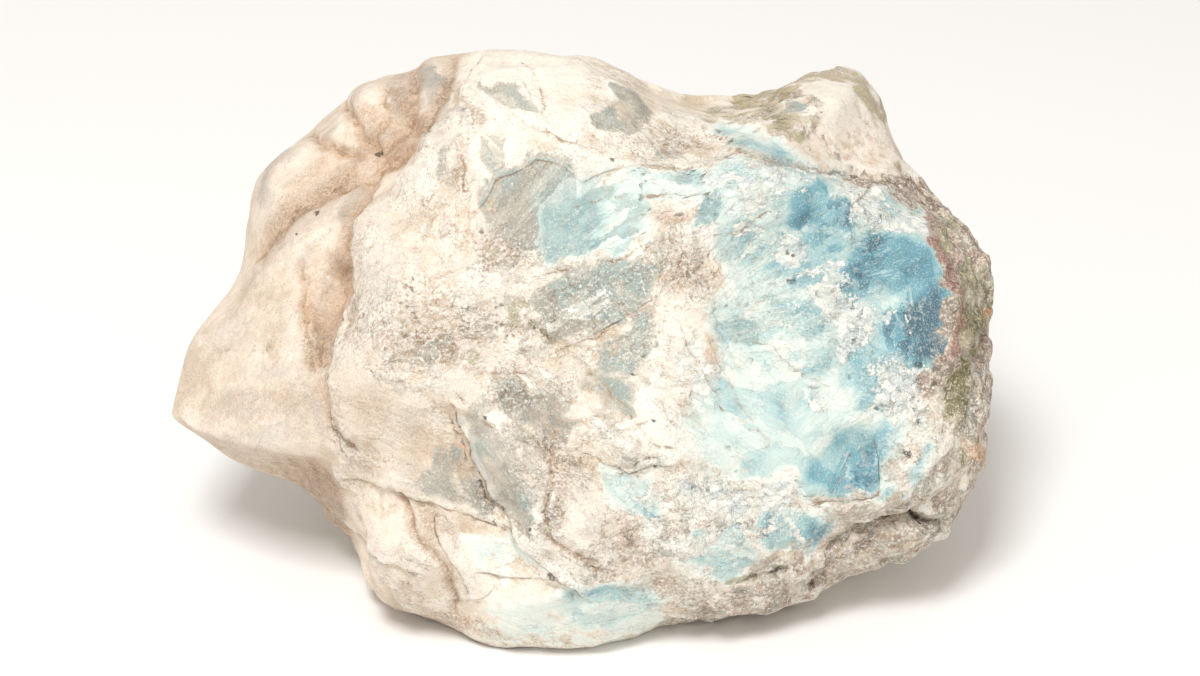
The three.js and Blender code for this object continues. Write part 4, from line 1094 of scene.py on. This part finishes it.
    # tan stains, and painted shade in the hollows, in tan
    rusty = blend(rise(broad, 0.44, 0.56), "brown", "rust")
    stain = blend(rise(fine, 0.4, 0.58), rusty, "tan")
    hollowShade = times(rise(hollow, 0.1, 0.8), rise(small, 0.38, 0.62), notBlue)
    largeEdge = times(large["Edge"], rise(patch, 0.44, 0.58), notBlue, broken)
    hairs = times(splinterEdge, rise(small, 0.5, 0.62), notBlue, rise(broken, 0.1, 0.5, 0.25, 1.0))
    colour = lay(
        colour,
        (times(windowMask, 0.9), window),
        (blueMask, blue),
        (ragged("tanStain"), stain),
        (ragged("greyBand"), "band"),
        # painted shade along the gullies, in the stain's tan and brown
        (times(mask["gully"], 0.6), stain),
        # partly stain, partly painted shade in the shoulder's hollows, streaked
        (times(mask["hollowStainAndShade"], rise(streak, 0.35, 0.65, 0.5, 1.0), 0.8), "brown"),
        # painted shade where the stone turns under and where it faces down
        (times(mask["underside"], rise(small, 0.3, 0.6, 0.95, 0.7)), "under"),
        # painted shade: tan where the stone sinks in
        (times(hollowShade, 0.6), "tan"),
        (times(largeEdge, 0.35), "brown"),
        (times(hairs, 0.6), rusty),
    )

    # white crust, sugary, with what lies under it showing between its grains
    coolness = rise(mask["cool"], 0.3, 0.9)
    # tan spots among the crust's grains: painted shade, laid by noise, fewer where the stone is cold
    crustShadeSpots = times(rise(small, 0.42, 0.58), rise(fine, 0.42, 0.58), rise(coolness, 0.0, 1.0, 0.45, 0.15))
    crust = lay(
        "cold",
        (rise(plus(times(crumb["Tone"], 0.5), times(small, 0.5)), 0.25, 0.5), "crust"),
        (rise(crumb["Pick"], 0.6, 0.66, 0.0, 0.5), blend(coolness, "greyCream", "ice")),
        # painted shade round the rims of the crust's grains
        (times(crumb["Rim"], 0.3), blend(coolness, "coldDeep", "ice")),
        (crustShadeSpots, "tan"),
    )
    grains = plus(times(wander[1], 0.5), times(fine, 0.5))
    given = {"Mask": mask["whiteCrust"], "Wander": grains, "Raggedness": 2.6, "Softness": 0.12}
    crustMask = useGroup(tree, "ragged", given)["Mask"]

    # rind
    thick = rise(mask["mauveRind"], 0.5, 0.75, 0.2, 1.0)
    rind = lay(
        "mauve",
        (rise(plus(times(crumb["Tone"], 0.5), times(patch, 0.5)), 0.3, 0.6), "mauvePale"),
        (rise(patch, 0.5, 0.62, 0.0, 0.7), "creamDeep"),
        (rise(splinterPick, 0.68, 0.76, 0.0, 0.6), "greyBlue"),
        (rise(large["Tone"], 0.5, 0.56, 0.0, 0.35), "pinkDeep"),
        (rise(crumb["Pick"], 0.7, 0.74, 0.0, 0.5), "cold"),
        (times(rise(small, 0.53, 0.4, 0.0, 0.85), thick), "mauveDark"),
        (rise(fine, 0.56, 0.62, 0.0, 0.6), "creamPale"),
        (times(large["Edge"], 0.6, thick), "mauveDark"),
        (rise(thick, 0.2, 1.0, 0.55, 0.0), "greyCream"),
    )
    rindMask = ragged("mauveRind")
    darkRind = blend(times(crumb["Tone"], 0.8), "mauveDark", "mauve")
    darkRind = blend(rise(fine, 0.46, 0.66), darkRind, "mauvePale")
    olive = lay(
        "oliveDark",
        (rise(fine, 0.45, 0.65), "olive"),
        (rise(patch, 0.5, 0.7, 0.0, 0.6), "mauvePale"),
        (rise(mask["oliveRind"], 1.0, 0.7, 0.0, 0.7), "olivePale"),
    )
    colour = lay(
        colour,
        (crustMask, crust),
        (rindMask, rind),
        (ragged("darkRind"), darkRind),
        (ragged("humpRim"), blend(rise(small, 0.4, 0.6), "olive", "mauve")),
        (ragged("oliveRind"), olive),
        (ragged("redVein"), "red"),
        (ragged("orangeStain"), "orange"),
    )

    # cracks, specks and dots, then threads, chips and grit
    # the ledge lines here are painted shadow under each ledge and painted highlight on its rim
    for *shape, tone in look["lines"]:
        colour = blend(thinLine(*shape), colour, tone)
    darkSpeck = {"Place": bent, "Scale": perMm / spacing["speck"], "Share": 0.1, "Size": 0.07}
    darkSpeck = useGroup(tree, "specks", darkSpeck)["Mask"]
    brownSpeck = times(rise(grit, 0.68, 0.76), rise(small, 0.5, 0.62), notBlue)
    clearStone = rise(maths(tree, "MAXIMUM", windowMask, blueMask), 0.0, 1.0, 0.12, 0.55)
    threads = times(inBlock, rise(small, 0.4, 0.62), clearStone)
    chips = times(rise(broken, 0.1, 0.5), rise(blueMask, 0.0, 1.0, 1.0, 0.5))
    colour = lay(
        colour,
        (times(brownSpeck, 0.7), rusty),
        (times(darkSpeck, 0.75), "dark"),
        # painted shade inside each dot's pit
        (rise(mask["darkDot"], 0.3, 0.7, 0.0, 0.85), "dark"),
        (times(rise(thread, 0.44, 0.34, 0.0, 0.3), threads), "brown"),
        (times(rise(thread, 0.56, 0.66, 0.0, 0.25), threads), "crust"),
        (times(rise(fine, 0.42, 0.39, 0.0, 0.5), rise(patch, 0.4, 0.6), chips), "brown"),
        (times(rise(fine, 0.57, 0.6, 0.0, 0.6), chips), "crust"),
        (times(rise(crumb["Tone"], 0.72, 0.76, 0.0, 0.3), chips), "greyCream"),
        (times(rise(grit, 0.5, 0.72, 0.0, 0.2), notBlue), rusty),
        (rise(grit, 0.5, 0.28, 0.0, 0.26), "crust"),
    )
    setInput(tree, shader.inputs["Base Color"], colour)

    # the surface, heights in mm
    tall = look["heights"]
    tilts = times(large["Tilt"], tall["plates"] * perMm)
    tilts = plus(tilts, times(splinter["Tilt"], tall["splinters"], inBlock))
    lumps = plus(times(patch, tall["patch"]), times(small, tall["small"]))
    lumps = plus(lumps, times(fine, tall["fine"]), times(thread, tall["threads"]))
    grainy = plus(times(crustMask, 0.5), rindMask, broken)
    ledge = times(rise(plus(mask["edgeSide"], swing(wander[0], 0.5)), -0.1, 0.14), mask["edgeFade"])
    height = plus(
        times(tilts, plus(times(broken, 0.8), 0.1)),
        times(lumps, plus(broken, 0.25)),
        times(streak, inBlock, rise(broken, 0.0, 0.2), tall["streaks"]),
        times(crumb["Tilt"], tall["crumbs"] * perMm, grainy),
    )
    height = less(height, times(ledge, tall["ledges"]))
    bump = addNode(tree, "ShaderNodeBump", {"Strength": 1.0, "Distance": mm, "Height": height})
    setInput(tree, shader.inputs["Normal"], bump.outputs[0])
    setInput(tree, shader.inputs["Roughness"], rise(fine, 0.3, 0.7, *look["roughness"]))
    shader.inputs["Specular IOR Level"].default_value = look["specular"]
    return material


material = makeLarimar(larimarLook)
mesh.materials.clear()
mesh.materials.append(material)
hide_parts("larimar")
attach(stone, "root")
print("material:", material.name)

# Floor, light and camera.
studio = {
    "floorSize": 4,  # metres
    "floorTone": "#fbfbfa",
    "floorRoughness": 0.9,
    "roomTone": "#fffaf4",
    "roomStrength": 0.6,
    "keyPower": 4.5,  # watts
    "keySize": 0.25,  # metres
    "keyTurn": -20,  # degrees
    "keyRise": 62,
    "keyFar": 0.8,  # metres
}
bpy.ops.mesh.primitive_plane_add(size=studio["floorSize"], location=(0, 0, low.z))
floor = bpy.context.object
floor.name = "floor"
floorPaper = bpy.data.materials.new("pale paper")
floorPaper.use_nodes = True
floorShader = floorPaper.node_tree.nodes["Principled BSDF"]
floorShader.inputs["Base Color"].default_value = colourOf(studio["floorTone"])
floorShader.inputs["Roughness"].default_value = studio["floorRoughness"]
floor.data.materials.append(floorPaper)

room = bpy.data.worlds.new("soft room")
bpy.context.scene.world = room
room.use_nodes = True
room.node_tree.nodes["Background"].inputs["Color"].default_value = colourOf(studio["roomTone"])
room.node_tree.nodes["Background"].inputs["Strength"].default_value = studio["roomStrength"]


def aimAt(thing, target):
    thing.rotation_euler = (target - thing.location).to_track_quat("-Z", "Y").to_euler()


keyLamp = bpy.data.lights.new("key light", "AREA")
keyLamp.energy = studio["keyPower"]
keyLamp.size = studio["keySize"]
keyLight = bpy.data.objects.new("key light", keyLamp)
bpy.context.scene.collection.objects.link(keyLight)
keyTurn, keyRise = math.radians(studio["keyTurn"]), math.radians(studio["keyRise"])
towardLight = Vector((
    math.sin(keyTurn) * math.cos(keyRise),
    -math.cos(keyTurn) * math.cos(keyRise),
    math.sin(keyRise),
))
keyLight.location = middle + towardLight * studio["keyFar"]
aimAt(keyLight, middle)

# The camera looks square at the face. Its place is in millimetres of the stone.
view = {"lens": 100, "far": 442.7, "aside": 2.8, "up": 1.06}
lens = bpy.data.cameras.new("camera")
lens.lens = view["lens"]
lens.sensor_width = 36
lens.clip_start = 0.01
camera = bpy.data.objects.new("camera", lens)
bpy.context.scene.collection.objects.link(camera)
target = middle + across * view["aside"] * mm + upFace * view["up"] * mm
camera.location = target + outOfFace * view["far"] * mm
aimAt(camera, target)
bpy.context.scene.camera = camera
bpy.context.scene.view_settings.view_transform = "Standard"
print("camera at", [round(c, 4) for c in camera.location])
